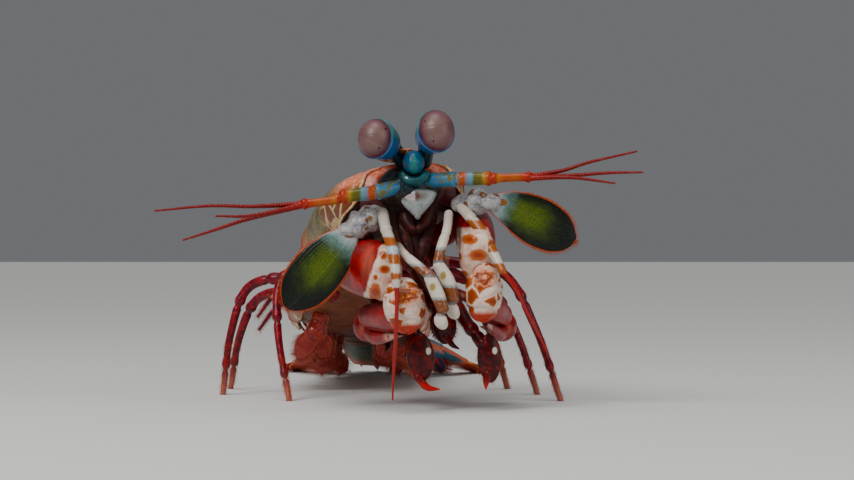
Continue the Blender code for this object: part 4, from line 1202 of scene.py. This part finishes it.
def raptorial(mark, way, root, hinge, front, knuckle, heel):
    """One limb, from its root, the two ends of its merus, the centre, sizes and
    lean of its carpus, and the heel of its dactyl."""
    hinge, front, heel = Vector(hinge), Vector(front), Vector(heel)
    out = Vector((way, 0, 0))

    def finish(form, joint, paint):
        form.piece(f"raptorial_{mark}_{joint}", paint, "raptorial", f"raptorial_{joint}_{mark}")

    merus = Form()
    merus.tube([(*root, 2.4), (*(hinge + Vector((-way * 0.6, 1.2, 0))), 2.8)], 14, 30, hint=AWAY,
               relief=swells((0.3, 0.8, 0.15), (-0.35, 0.55, 0.06)))
    merus.tube([
        (*hinge, 2.6, 3.8), (*(hinge.lerp(front, 0.3) + out * 0.6), 3.7, 5.5),
        (*(hinge.lerp(front, 0.7) + out * 0.6), 3.7, 5.9), (*front, 3.2, 5.2),
    ], 90, 64, power=2.3, caps=(0.8, 0.5), relief=merus_relief)
    finish(merus, "merus", merus_paint(mark))
    centre, sizes, lean = knuckle
    carpus = Form(AWAY)
    carpus.ball(centre, lean, [size * 0.99 for size in sizes], 70, 80,
                relief=lambda lift, turn: fist_relief(lift, turn, way))
    finish(carpus, "carpus", carpus_paint(mark))
    start = Vector(centre) + Vector((0, 1.5, -2))
    end = heel + Vector((0, -3.2, 2.2))
    propodus = Form()
    path = [(*start, 2.3, 2.9), (*(start.lerp(end, 0.35) + out * 0.4), 2.5, 3.1), (*end, 1.9, 2.3)]
    slots = propodus.tube(path, 60, 56, caps=(0.6, 0.8), relief=fold_relief)
    teeth = 22
    for k in range(teeth):
        slot = slots[int(8 + 44 * k / (teeth - 1))]
        tooth = slot.centre - slot.top * slot.high * 0.86 - slot.side * slot.wide * 0.42
        propodus.tube([(*tooth, 0.2), (*(tooth - slot.top * 0.55), 0.08)], 3, 8, hint=AWAY)
    finish(propodus, "propodus", arm_paint(mark))
    low = Vector((0, 0, -4.3))
    dactyl = Form()
    dactyl.ball(heel, (0, 1, -0.35), (3.9, 3, 3.3), 40, 48,
                relief=lambda lift, turn: 0.02 * cos(2 * turn) - 0.05 * hump(lift, 0.7, 0.12))
    dactyl.tube([
        (*heel, 1.8), (*(end.lerp(start, 0.2) + low), 1.35, 1.5),
        (*(end.lerp(start, 0.5) + low), 1, 1.15), (*(end.lerp(start, 0.78) + low * 0.92), 0.3, 0.35),
    ], 60, 28, relief=lambda t, d, turn: -0.12 * hump(sin(turn), 0, 0.2))
    for k in range(3):
        t = 0.32 + 0.16 * k
        inner = end.lerp(start, t) + low * 0.98
        point = end.lerp(start, t + 0.05) + low * 0.98 + Vector((-way * 2, 0, 0.2))
        spike = [(*inner, 0.75, 0.7), (*inner.lerp(point, 0.6), 0.42, 0.4), (*point, 0.12)]
        dactyl.tube(spike, 14, 16, far=14)
    finish(dactyl, "dactyl", claw_paint(mark, heel))


raptorial("l", 1, (4, 23, 34.4), (10.8, 21, 38.2), (12.6, -0.6, 30.6),
          ((13.8, -1.8, 23.9), (5.9, 3.7, 3.3), (0.08, 0, 1)), (18.2, 21, 16.4))
raptorial("r", -1, (-10, 22, 31.4), (-15.6, 19, 30.4), (-5.4, -3, 27.6),
          ((-2.1, -4.8, 21.4), (5.6, 4.1, 3.3), (-0.1, 0, 1)), (-10, 20, 16.4))

# Maxillipeds: the other four of the five pairs of limbs round the mouth. The
# first pair is thin, white and banded. The rest end in a broad flat hand, dark
# red, with a hooked bright red claw and a comb of bristles.


def banded_paint(mark, bands, spot):
    p = Paint(f"maxilliped_1_{mark}", coat=0.35, polish=0.2)
    height = p.height() + p.stir(0.9, 0.6)
    colour = WHITE
    for top, shade in bands:
        colour = p.blend(p.smooth(height, top + 0.8, top + 0.3) * 0.7, colour, (104, 122, 128))
        colour = p.blend(p.smooth(height, top + 0.2, top - 0.2), colour, shade)
    colour = p.blend(p.blots(0.8, 0.5, 0.7) * 0.3, colour, (150, 156, 164))
    colour = p.blend(p.near(spot, (0.6, 5, 0.8), 0.5, 0.4), colour, (150, 128, 60))
    return p.finish(colour, 0.35, p.clouds(0.5), 0.06)


WHITE, OLIVE = (208, 196, 180), (122, 62, 12)
# Side, stations above and below the elbow, the end, the colour below each height,
# and a yellow spot
FIRST = (
    ("r", ((-3.4, 5, 33, 0.95), (-2.2, -1, 31.6, 0.9), (0.4, -5, 29.4, 1), (2.9, -6.9, 27.4, 0.95)),
     ((3, -7, 27, 1.25), (4.5, -7.6, 23.6, 1.4), (5.6, -7.8, 20.6, 1.2)), (5.2, -8, 18.5),
     ((29.2, OLIVE), (27, WHITE), (22.6, OLIVE), (19.4, WHITE)), (3.5, -8, 25.2)),
    ("l", ((6.8, 5.6, 39.6, 0.95), (6.4, 1, 36.6, 0.9), (5.2, -2.6, 32.8, 1), (4.6, -3.9, 30, 0.95)),
     ((4.7, -4, 29.4, 1.25), (6.6, -4.4, 26, 1.45), (7.6, -4.6, 22.4, 1.2)), (7.6, -4.6, 20.4),
     ((32.4, OLIVE), (29.8, WHITE), (25, OLIVE), (21.6, WHITE)), (5.6, -5, 27.4)),
)
for mark, upper, lower, end, bands, spot in FIRST:
    limb, name = Form(AWAY), f"maxilliped_1_{mark}"
    limb.tube(upper, 44, 24, relief=swells((0.14, 0.97, 0.04), (-0.16, 0.52, 0.02)))
    limb.tube(lower, 40, 26, caps=(0.7, 0.7))
    limb.ball(end, (0.35, 0, -1), (1.7, 1.3, 0.8), 20, 26,
              relief=lambda lift, turn: 0.08 * cos(3 * turn + lift * 2))
    limb.piece(f"{name}_limb", banded_paint(mark, bands, spot), "maxillipeds", name)


def hand_paint():
    p = Paint("maxilliped_red", coat=0.1, polish=0.2)
    z = p.height()
    spots = p.near((2.7, 0, 12.1), (0.5, 9, 0.75), 0.6).most(p.near((16, 0, 12.2), (0.5, 9, 0.7), 0.6))
    tips = p.smooth(z, 6.6, 5)
    colour = p.layers(
        (58, 0, 3),
        (p.blots(1.5, 0.45, 0.62), (106, 1, 2)),
        (p.blots(0.6, 0.6, 0.72) * 0.5, (150, 24, 6)),
        (p.smooth(z, 20, 27) * 0.7, (130, 60, 34)),
        (tips, (178, 4, 4)), (spots, (206, 206, 188)),
    )
    return p.finish(colour, 0.3, p.clouds(0.7, 4), 0.1)


hand_red = hand_paint()
comb = Form()
WRIST = [(rise, joint + shift, width) for joint in (0.3, 0.62, 0.9)
         for rise, shift, width in ((0.2, -0.03, 0.03), (-0.3, 0.01, 0.014))]


def palm_relief(lift, turn):
    return 0.04 * cos(3 * turn) - 0.06 * hump(lift, 1.9, 0.2) * hump(cos(turn), 0, 0.3)


def hand(name, path, palm, claw):
    """A limb along a path, ending in a flat palm, with a claw and a comb of bristles."""
    limb = Form(AWAY)
    limb.tube(path, 60, 24, hint=ACROSS, relief=swells(*WRIST))
    centre, sizes, lean = palm
    limb.ball(centre, lean, sizes, 36, 40, relief=palm_relief)
    limb.tube(claw, 26, 16)
    limb.piece(f"{name}_hand", hand_red, "maxillipeds", name)
    along = Vector(lean).normalized()
    side = along.cross(AWAY).normalized()
    for n in range(150):
        turn = pi * draw.uniform(0.12, 0.95)
        over, on = side * draw.choice((-1, 1)) * sin(turn), along * cos(turn)
        root = Vector(centre) - on * sizes[0] * 0.95 + over * sizes[1] * 0.95
        lie = over - on * 0.6 + along * 0.7 + AWAY * draw.uniform(-0.3, 0.3)
        size = draw.uniform(0.5, 1.1)
        home = (0.02 + 0.9 * draw.random(), 0.02 + 0.9 * draw.random())
        comb.hair(root, lie, size, (0, 0, -0.15), 0.035, home)


hand("maxilliped_3_r",
     [(-6, 24, 33, 1.6), (-3.6, 14, 25, 1.2), (-1.2, 6, 19, 1.2), (0.6, 3.2, 13.6, 1.4)],
     ((0.9, 2.8, 10.9), (4.8, 2.8, 1.2), (0.08, 0, -1)),
     [(0.6, 2.4, 6.8, 0.9), (2.4, 2, 4.8, 0.7), (4.8, 1.6, 4.4, 0.2)])
hand("maxilliped_3_l",
     [(2.6, 24, 34, 1.6), (7, 14, 25, 1.2), (10.6, 6, 17.6, 1.2), (13.6, 2.6, 13.6, 1.4)],
     ((14.8, 2.2, 10.6), (4.8, 2.4, 1.1), (0.05, 0, -1)),
     [(14.6, 1.8, 7.6, 0.9), (14.3, 1.5, 6, 0.7), (14.2, 1.2, 4.6, 0.2)])


def mirrored(way, *stations):
    """The stations of one side, each given by its place on the body and its sizes."""
    return [rib(s, way * u, v, *sizes) for s, u, v, *sizes in stations]


# Pair, arm, palm with its half sizes, and claw, by their places on the body
HIND = (
    (4, ((27, 4.4, -5, 1.5), (22, 4.4, -14, 1.1), (15, 5, -22, 1.1), (13, 4.2, -26, 1.2)),
     ((12.6, 4, -28.6), (3.4, 2.4, 0.95)),
     ((12.4, 4, -30.8, 0.7), (12, 4.8, -32.6, 0.55), (11.6, 5.8, -33.6, 0.2))),
    (5, ((32, 4.6, -5.6, 1.5), (29.5, 5.6, -13, 1.1), (25, 5.8, -20, 1.1), (21.5, 6, -23.6, 1.2)),
     ((21, 5.8, -26), (3.2, 2.2, 0.95)),
     ((20.8, 5.8, -28, 0.7), (20.4, 6.4, -29.6, 0.55), (20, 7.2, -30.4, 0.2))),
)
for mark, way in SIDES:
    for pair, arm, (middle, sizes), claw in HIND:
        palm = (*mirrored(way, middle), sizes, (0, 0, -1))
        hand(f"maxilliped_{pair}_{mark}", mirrored(way, *arm), palm, mirrored(way, *claw))
comb.piece("maxilliped_bristles", bristle, "maxillipeds")

# Telson: the stiff tail plate, one moulding with a keel down its middle, ridges
# at its sides and three pairs of sharp teeth along its rear edge. It rests on
# the ground, as the tail fan does.


def telson_paint():
    p = Paint("telson_cuticle", coat=0.4, polish=0.2)
    mottle = p.clouds(2.2, 4)
    across = p.aside()
    colour = p.layers(
        p.ramp(mottle, (0.3, (22, 66, 40)), (0.5, (52, 98, 46)), (0.7, (96, 118, 50))),
        (p.band(across, 0.2, 0.3, 0.06) * 0.7, (18, 84, 104)),
        (p.smooth(p.top, 0.55, 0.85), (186, 66, 16)),
        (p.smooth(across, 0.84, 0.96), (196, 40, 10)),
        (p.smooth(p.along, 15.5, 18.5) * 0.9, (206, 70, 14)),
        (p.dots(1.3, 0.3, 0.2) * 0.6, (12, 34, 26)),
        (p.smooth(p.along, 19.5, 22.5), (176, 12, 8)),
    )
    return p.finish(colour, 0.38, mottle + p.dots(0.7, 0.4, 0.1), 0.12)


def grounded(form, lowest=0.02):
    """No point of the form goes below the ground."""
    form.points = [Vector((p[0], p[1], max(p[2], lowest))) for p in form.points]
    return form


TELSON, TAIL = 124.6, 20
fan_plate = Form()
rows, marks = [], []
steps, columns = 70, 80
for r in range(steps):
    t = r / (steps - 1)
    s = TELSON - 0.5 + (TAIL + 0.5) * t
    wide = 11 - 2.2 * t**2 - 0.8 * hump(t, 0, 0.06)
    ends = min(1, t * 14, (1 - t) * 10) ** 0.5
    length = sin(pi * min(1, t * 1.02)) ** 0.5
    upper, lower, upper_marks, lower_marks = [], [], [], []
    for k in range(columns + 1):
        q = 2 * k / columns - 1
        arch = max(0, 1 - abs(q) ** 2.6)
        keel = 1.2 * hump(q, 0, 0.07) * length
        ridge = sum(0.55 * hump(abs(q), place, 0.045) for place in (0.28, 0.52, 0.78)) * length
        grain = 0.16 * noise.noise(Vector((q * 14, t * 22, 3))) * length
        v = arch * (3.2 - 1.6 * t) * ends + keel + ridge + grain
        upper.append(at(s, wide * q, v + 0.5))
        lower.append(at(s, wide * q, -0.35 * arch * (3.2 - 1.6 * t) - 0.5))
        upper_marks.append((TAIL * t, q, hump(q, 0, 0.07) * length))
        lower_marks.append((TAIL * t, q, -1))
    rows.append(upper[::-1] + lower)
    marks.append(upper_marks[::-1] + lower_marks)
fan_plate.closed(rows, marks, (0, 0, 0), (TAIL, 0, 0))
# The three pairs of big teeth: root and tip, along and across, and half width
TEETH = ((142, 2.6, 149.5, 3.1, 1.5), (141, 6.3, 147.6, 7.2, 1.25), (137, 9.2, 143, 10.6, 1))
for way in (-1, 1):
    for s, u, tip_s, tip_u, wide in TEETH:
        a, b = at(s, way * u, 0.3), at(tip_s, way * tip_u, 0)
        tooth = [(*a, wide), (*a.lerp(b, 0.5), wide * 0.72), (*b, 0.1)]
        fan_plate.tube(tooth, 22, 20, far=TAIL - 3,
                       relief=lambda t, d, turn: 0.12 * hump(sin(turn), 1, 0.1) * (1 - t))
    for k in range(7):
        root = rib(144.4, way * (0.7 + 0.32 * k), 0.2, 0.22)
        tip = rib(145.6, way * (0.75 + 0.33 * k), 0.05, 0.06)
        fan_plate.tube([root, tip], 4, 8, far=TAIL)
grounded(fan_plate, 0).piece("telson_plate", telson_paint(), "tail_fan", "telson")

# Uropods: the two halves of the tail fan. Each has a stout base with a long
# forked spine below, a jointed outer branch edged with movable red spines, and
# an oval inner paddle. The paddles carry a fringe of long red bristles.


def fan_paint(name, ground, light, tip, long):
    p = Paint(name, coat=0.45, polish=0.18)
    share = p.along / long
    edge = p.smooth(p.aside(), 0.86, 0.97)
    rays = p.wave(p.side * 38)
    colour = p.layers(
        ground,
        (p.blots(1.6, 0.42, 0.62, 4) * 0.8, light),
        (p.smooth(share + p.clouds(1.5) * 0.3, 0.8, 1.1), tip),
        (edge * 0.9, tip),
        (p.dots(0.9, 0.3, 0.18) * 0.5, (8, 18, 40)),
    )
    return p.finish(colour, 0.35, rays * 0.4 + p.clouds(0.5), 0.07)


outer_blue = fan_paint("uropod_blue", (10, 74, 112), (22, 128, 130), (206, 84, 20), 11)
paddle_red = fan_paint("uropod_red", (186, 22, 10), (214, 84, 14), (228, 150, 34), 12)
inner_blue = fan_paint("uropod_navy", (10, 40, 96), (14, 70, 128), (196, 24, 14), 17)
spine_red = Paint("spine_red", coat=0.5)
spine_tip = spine_red.smooth(spine_red.along, 1.5, 4.5)
spine_colour = spine_red.blend(spine_tip, (206, 120, 30), (190, 12, 10))
spine_red.finish(spine_colour, 0.25, spine_red.clouds(0.4), 0.04)
red_bristle = bristle_paint("bristle_red", (176, 14, 10), (232, 74, 40), 0.1, 0.5, 0.2)


def midrib(high, wide, middle=0):
    """Relief for a flat blade: a rib along its upper face."""
    return lambda t, d, turn: high * hump(cos(turn), middle, wide) * (sin(turn) > 0)


def branch_relief(t, d, turn):
    return 0.15 * hump(t, 0.96, 0.04) + midrib(0.2, 0.08, 0.2)(t, d, turn)


STOCK = ((120.5, 12.4, -5.2, 2.4, 1.8), (124, 13.6, -4.9, 2.7, 2), (127.5, 15, -4.2, 2.5, 1.8))
BRANCH = ((126, 15.4, -4.2, 2.2, 1.2), (131, 17.4, -3.8, 2.9, 1.1), (136, 19.6, -3.4, 3.1, 1))
PADDLE = (
    (135.6, 19.7, -3.4, 2.4, 0.7), (138.5, 20.8, -3, 3.4, 0.65), (142, 22.1, -2.5, 3.3, 0.55),
    (146.5, 23.6, -1.6, 1.5, 0.35),
)
INNER = (
    (126, 13.6, -4.6, 1.2, 0.8), (131, 13.6, -4.7, 2.6, 0.75), (136, 13.9, -4.4, 2.9, 0.7),
    (142.4, 14.6, -3.4, 1.2, 0.4),
)
for mark, way in SIDES:
    base = Form()
    base.tube(mirrored(way, *STOCK), 30, 34, relief=lambda t, d, turn: (
        0.2 * hump(t, 0.95, 0.05) + 0.16 * hump(sin(turn), 0.9, 0.12)))
    base.tube(mirrored(way, *BRANCH), 36, 40, relief=branch_relief)
    grounded(base).piece(f"uropod_{mark}_base", outer_blue, "tail_fan", f"uropod_{mark}")
    paddle, lobe = Form(), Form()
    outer = paddle.tube(mirrored(way, *PADDLE), 46, 48, relief=midrib(0.14, 0.06))
    inner = lobe.tube(mirrored(way, *INNER), 52, 48, relief=midrib(0.2, 0.07))
    grounded(paddle).piece(f"uropod_{mark}_paddle", paddle_red, "tail_fan")
    grounded(lobe).piece(f"uropod_{mark}_inner", inner_blue, "tail_fan")
    spines = Form()
    for k in range(10):
        t = k / 9
        size = 0.62 + 0.38 * t
        root = at(128.6 + 8.2 * t, way * (17.9 + 3.6 * t), -4 + 0.7 * t)
        tip = root.lerp(at(132.6 + 8.6 * t, way * (20.8 + 3.9 * t), -3.9 + 1.3 * t), size)
        spines.tube([(*root, 0.5, 0.45), (*root.lerp(tip, 0.5), 0.38, 0.36), (*tip, 0.07)], 16, 14)
    fork = at(125, way * 13.6, -5.2)
    for end, wide in ((at(138.5, way * 12, -5), 1.1), (at(135.5, way * 15.4, -5.2), 0.8)):
        middle = (*fork.lerp(end, 0.5), wide * 0.8, wide * 0.7)
        spines.tube([(*fork, 1.3, 1), middle, (*end, 0.1)], 26, 20)
    grounded(spines).piece(f"uropod_{mark}_spines", spine_red, "tail_fan")
    edge = Form()
    fringe(edge, outer, 0.15, 3.2, 0.055, 12, lean=0.9, droop=(0, 0, -0.06))
    fringe(edge, inner, 0.3, 2.6, 0.05, 11, lean=0.9, droop=(0, 0, -0.06))
    grounded(edge).piece(f"uropod_{mark}_fringe", red_bristle, "tail_fan")

# Pleopods: five pairs of swimming limbs under the abdomen. Each is a short stem
# with two soft leafy flaps edged with bristles, and a tuft of branched gill
# filaments behind.
leaf_red = fan_paint("pleopod_red", (138, 16, 10), (176, 52, 22), (198, 92, 54), 10)
gill = bristle_paint("gill_pink", (150, 34, 24), (206, 110, 84), 0, 0.5)
for pair in range(5):
    s = (RINGS[pair] + RINGS[pair + 1]) / 2 - 1
    for mark, way in SIDES:
        name = f"pleopod_{pair + 1}_{mark}"
        limb, tufts = Form(AWAY), Form()
        stem = mirrored(way, (s, 7.6, -6.2, 1.9, 1.5), (s + 1.2, 9, -10.4, 2.3, 1.2))
        limb.tube(stem, 22, 28, relief=swells((0.18, 0.85, 0.1), (-0.2, 0.3, 0.06)))
        for spot, tip in ((11.2, 12.6), (7.2, 6.4)):
            flap = mirrored(
                way, (s + 1.2, 9, -9.6, 1.5, 0.6), (s + 2.8, spot, -12, 2.3, 0.45),
                (s + 4.6, tip, -14, 1.2, 0.3),
            )
            veins = lambda t, d, turn: 0.07 * sin(9 * cos(turn)) * t
            slots = limb.tube(flap, 30, 34, relief=veins)
            fringe(tufts, slots, 0.3, 1.7, 0.045, 7, lean=0.8)
        stem = at(s + 0.6, way * 8.4, -8.8)
        for n in range(90):
            aside = draw.uniform(-1, 1) * 1.2
            root = stem + Vector((aside, draw.uniform(0.4, 1.4), draw.uniform(-1.4, 1.2)))
            lie = Vector((draw.uniform(-0.8, 0.8), 0.9, draw.uniform(-1, 0.1)))
            size = draw.uniform(1.4, 2.8)
            bend = (draw.uniform(-0.3, 0.3), 0.1, -0.35)
            tufts.hair(root, lie, size, bend, 0.11, (draw.random() * 0.95, draw.random() * 0.95))
        grounded(limb).piece(f"{name}_flaps", leaf_red, "swimmerets", name)
        grounded(tufts).piece(f"{name}_gills", gill, "swimmerets")


# Walking legs: three pairs of slender jointed limbs, dark red with pale joints,
# each with a thin side branch and a brush of bristles on its last joint. They
# stand on small flats at one level and carry the weight of the front.


def leg_paint():
    p = Paint("leg_magenta", coat=0.15, polish=0.25)
    z = p.height()
    patches = p.blots(1.6, 0.42, 0.6, 4)
    colour = p.layers(
        (92, 2, 22),
        (patches * 0.8, (146, 4, 22)),
        (p.blots(0.8, 0.58, 0.7) * 0.5, (186, 56, 60)),
        (p.smooth(z, 7, 0.5) * 0.7, (190, 110, 88)),
        (p.band(p.along, 9.4, 10.6, 0.3) * 0.6, (206, 136, 112)),
    )
    return p.finish(colour, 0.33, p.clouds(0.5, 4), 0.07)


leg_red = leg_paint()
brush = Form()
# Name, distance along the body, side, knee and foot
LEGS = (
    ("leg_1_l", 40, 1, (19, 35, 27), (31, 30, 0)), ("leg_1_r", 40, -1, (-29, 38, 26), (-27, 30, 0)),
    ("leg_2_l", 47, 1, (16, 49, 24), (27, 50, 0)), ("leg_2_r", 47, -1, (-37, 49, 24), (-43, 50, 0)),
    ("leg_3_l", 53.8, 1, (12, 61, 21), (21, 70, 0)), ("leg_3_r", 53.8, -1, (-36, 61, 21), (-43, 70, 0)),
)
# Each joint is a swelling with a groove just after it
JOINTS = [(rise, joint + shift, width) for joint in (0.12, 0.34, 0.56, 0.86)
          for rise, shift, width in ((0.24, -0.02, 0.018), (-0.3, 0.006, 0.008))]
for name, s, way, knee, foot in LEGS:
    root, knee, foot = at(s, way * 6.6, -6.2), Vector(knee), Vector(foot)
    mid = root.lerp(knee, 0.45) + Vector((0, 0, 1.2))
    shin = knee.lerp(foot, 0.4) + Vector((way * 1.6, 0, 0))
    limb = Form(AWAY)
    slots = limb.tube([
        (*root, 2), (*mid, 1.3, 1.5), (*knee, 1.05, 1.15), (*shin, 0.85, 0.95), (*foot, 0.6),
        (*(foot + Vector((0, 0, -0.6))), 0.5),
    ], 120, 22, relief=swells(*JOINTS))
    twig = limb.tube([
        (*root.lerp(mid, 0.7), 0.8), (*(mid + Vector((way * 5, 3, -4))), 0.5, 0.65),
        (*(mid + Vector((way * 9, 5, -9))), 0.25, 0.4),
    ], 36, 16, relief=swells((0.12, 0.5, 0.03), (-0.16, 0.53, 0.015)))
    grounded(limb).piece(f"{name}_limb", leg_red, "legs", name)
    for slot in slots[86:118]:
        for n in range(7):
            turn = draw.uniform(0, 2 * pi)
            away = slot.side * cos(turn) + slot.top * sin(turn)
            root = slot.centre + away * slot.wide * 0.9
            size = draw.uniform(0.7, 1.5)
            home = (draw.random() * 0.95, draw.random() * 0.95)
            brush.hair(root, away * 0.5 + slot.along, size, (0, 0, -0.1), 0.035, home)
    fringe(brush, twig, 0.45, 1.1, 0.035, 7, lean=0.8)
grounded(brush).piece("leg_bristles", bristle, "legs")

# Floor, light and camera: a plain pale floor and soft studio light. The camera
# stands where the photograph was taken from, level with the feelers.


HALF_FLOOR = 3


def setting():
    pale = Paint("studio_floor")
    pale.finish((210, 210, 206), 0.7, pale.clouds(40, 2), 0.2)
    floor = bpy.data.meshes.new("floor")
    corners = [(x * HALF_FLOOR, y * HALF_FLOOR, 0) for x, y in ((-1, -1), (1, -1), (1, 1), (-1, 1))]
    floor.from_pydata(corners, [], [(0, 1, 2, 3)])
    floor.materials.append(pale.material)
    ground = bpy.data.objects.new("floor", floor)
    bpy.context.scene.collection.objects.link(ground)
    world = bpy.data.worlds.new("studio")
    world.use_nodes = True
    world.node_tree.nodes["Background"].inputs["Color"].default_value = (0.78, 0.8, 0.84, 1)
    world.node_tree.nodes["Background"].inputs["Strength"].default_value = 0.2
    bpy.context.scene.world = world
    # Name, kind, place, size or angle, and power
    lamps = (
        ("key", "AREA", (-0.28, -0.42, 0.42), 0.22, 2.6),
        ("fill", "AREA", (0.42, -0.34, 0.2), 0.3, 0.7),
        ("sky", "SUN", (-0.1, -0.2, 1), 0.6, 1.4),
    )
    for name, kind, place, size, power in lamps:
        lamp = bpy.data.lights.new(name, kind)
        lamp.energy = power
        setattr(lamp, "size" if kind == "AREA" else "angle", size)
        one = bpy.data.objects.new(name, lamp)
        one.location = place
        one.rotation_euler = (Vector((0, -0.03, 0.035)) - Vector(place)).to_track_quat("-Z", "Y").to_euler()
        bpy.context.scene.collection.objects.link(one)


setting()
EYE = Vector((2.4, -450, 34.4))
camera = bpy.data.cameras.new("camera")
camera.sensor_width, camera.lens = 36, 94.8
camera.clip_start, camera.clip_end = 0.01, 20
view = bpy.data.objects.new("camera", camera)
view.location = (EYE - ORIGIN) * MM
view.rotation_euler = (pi / 2, 0, 0)
bpy.context.scene.collection.objects.link(view)
bpy.context.scene.camera = view
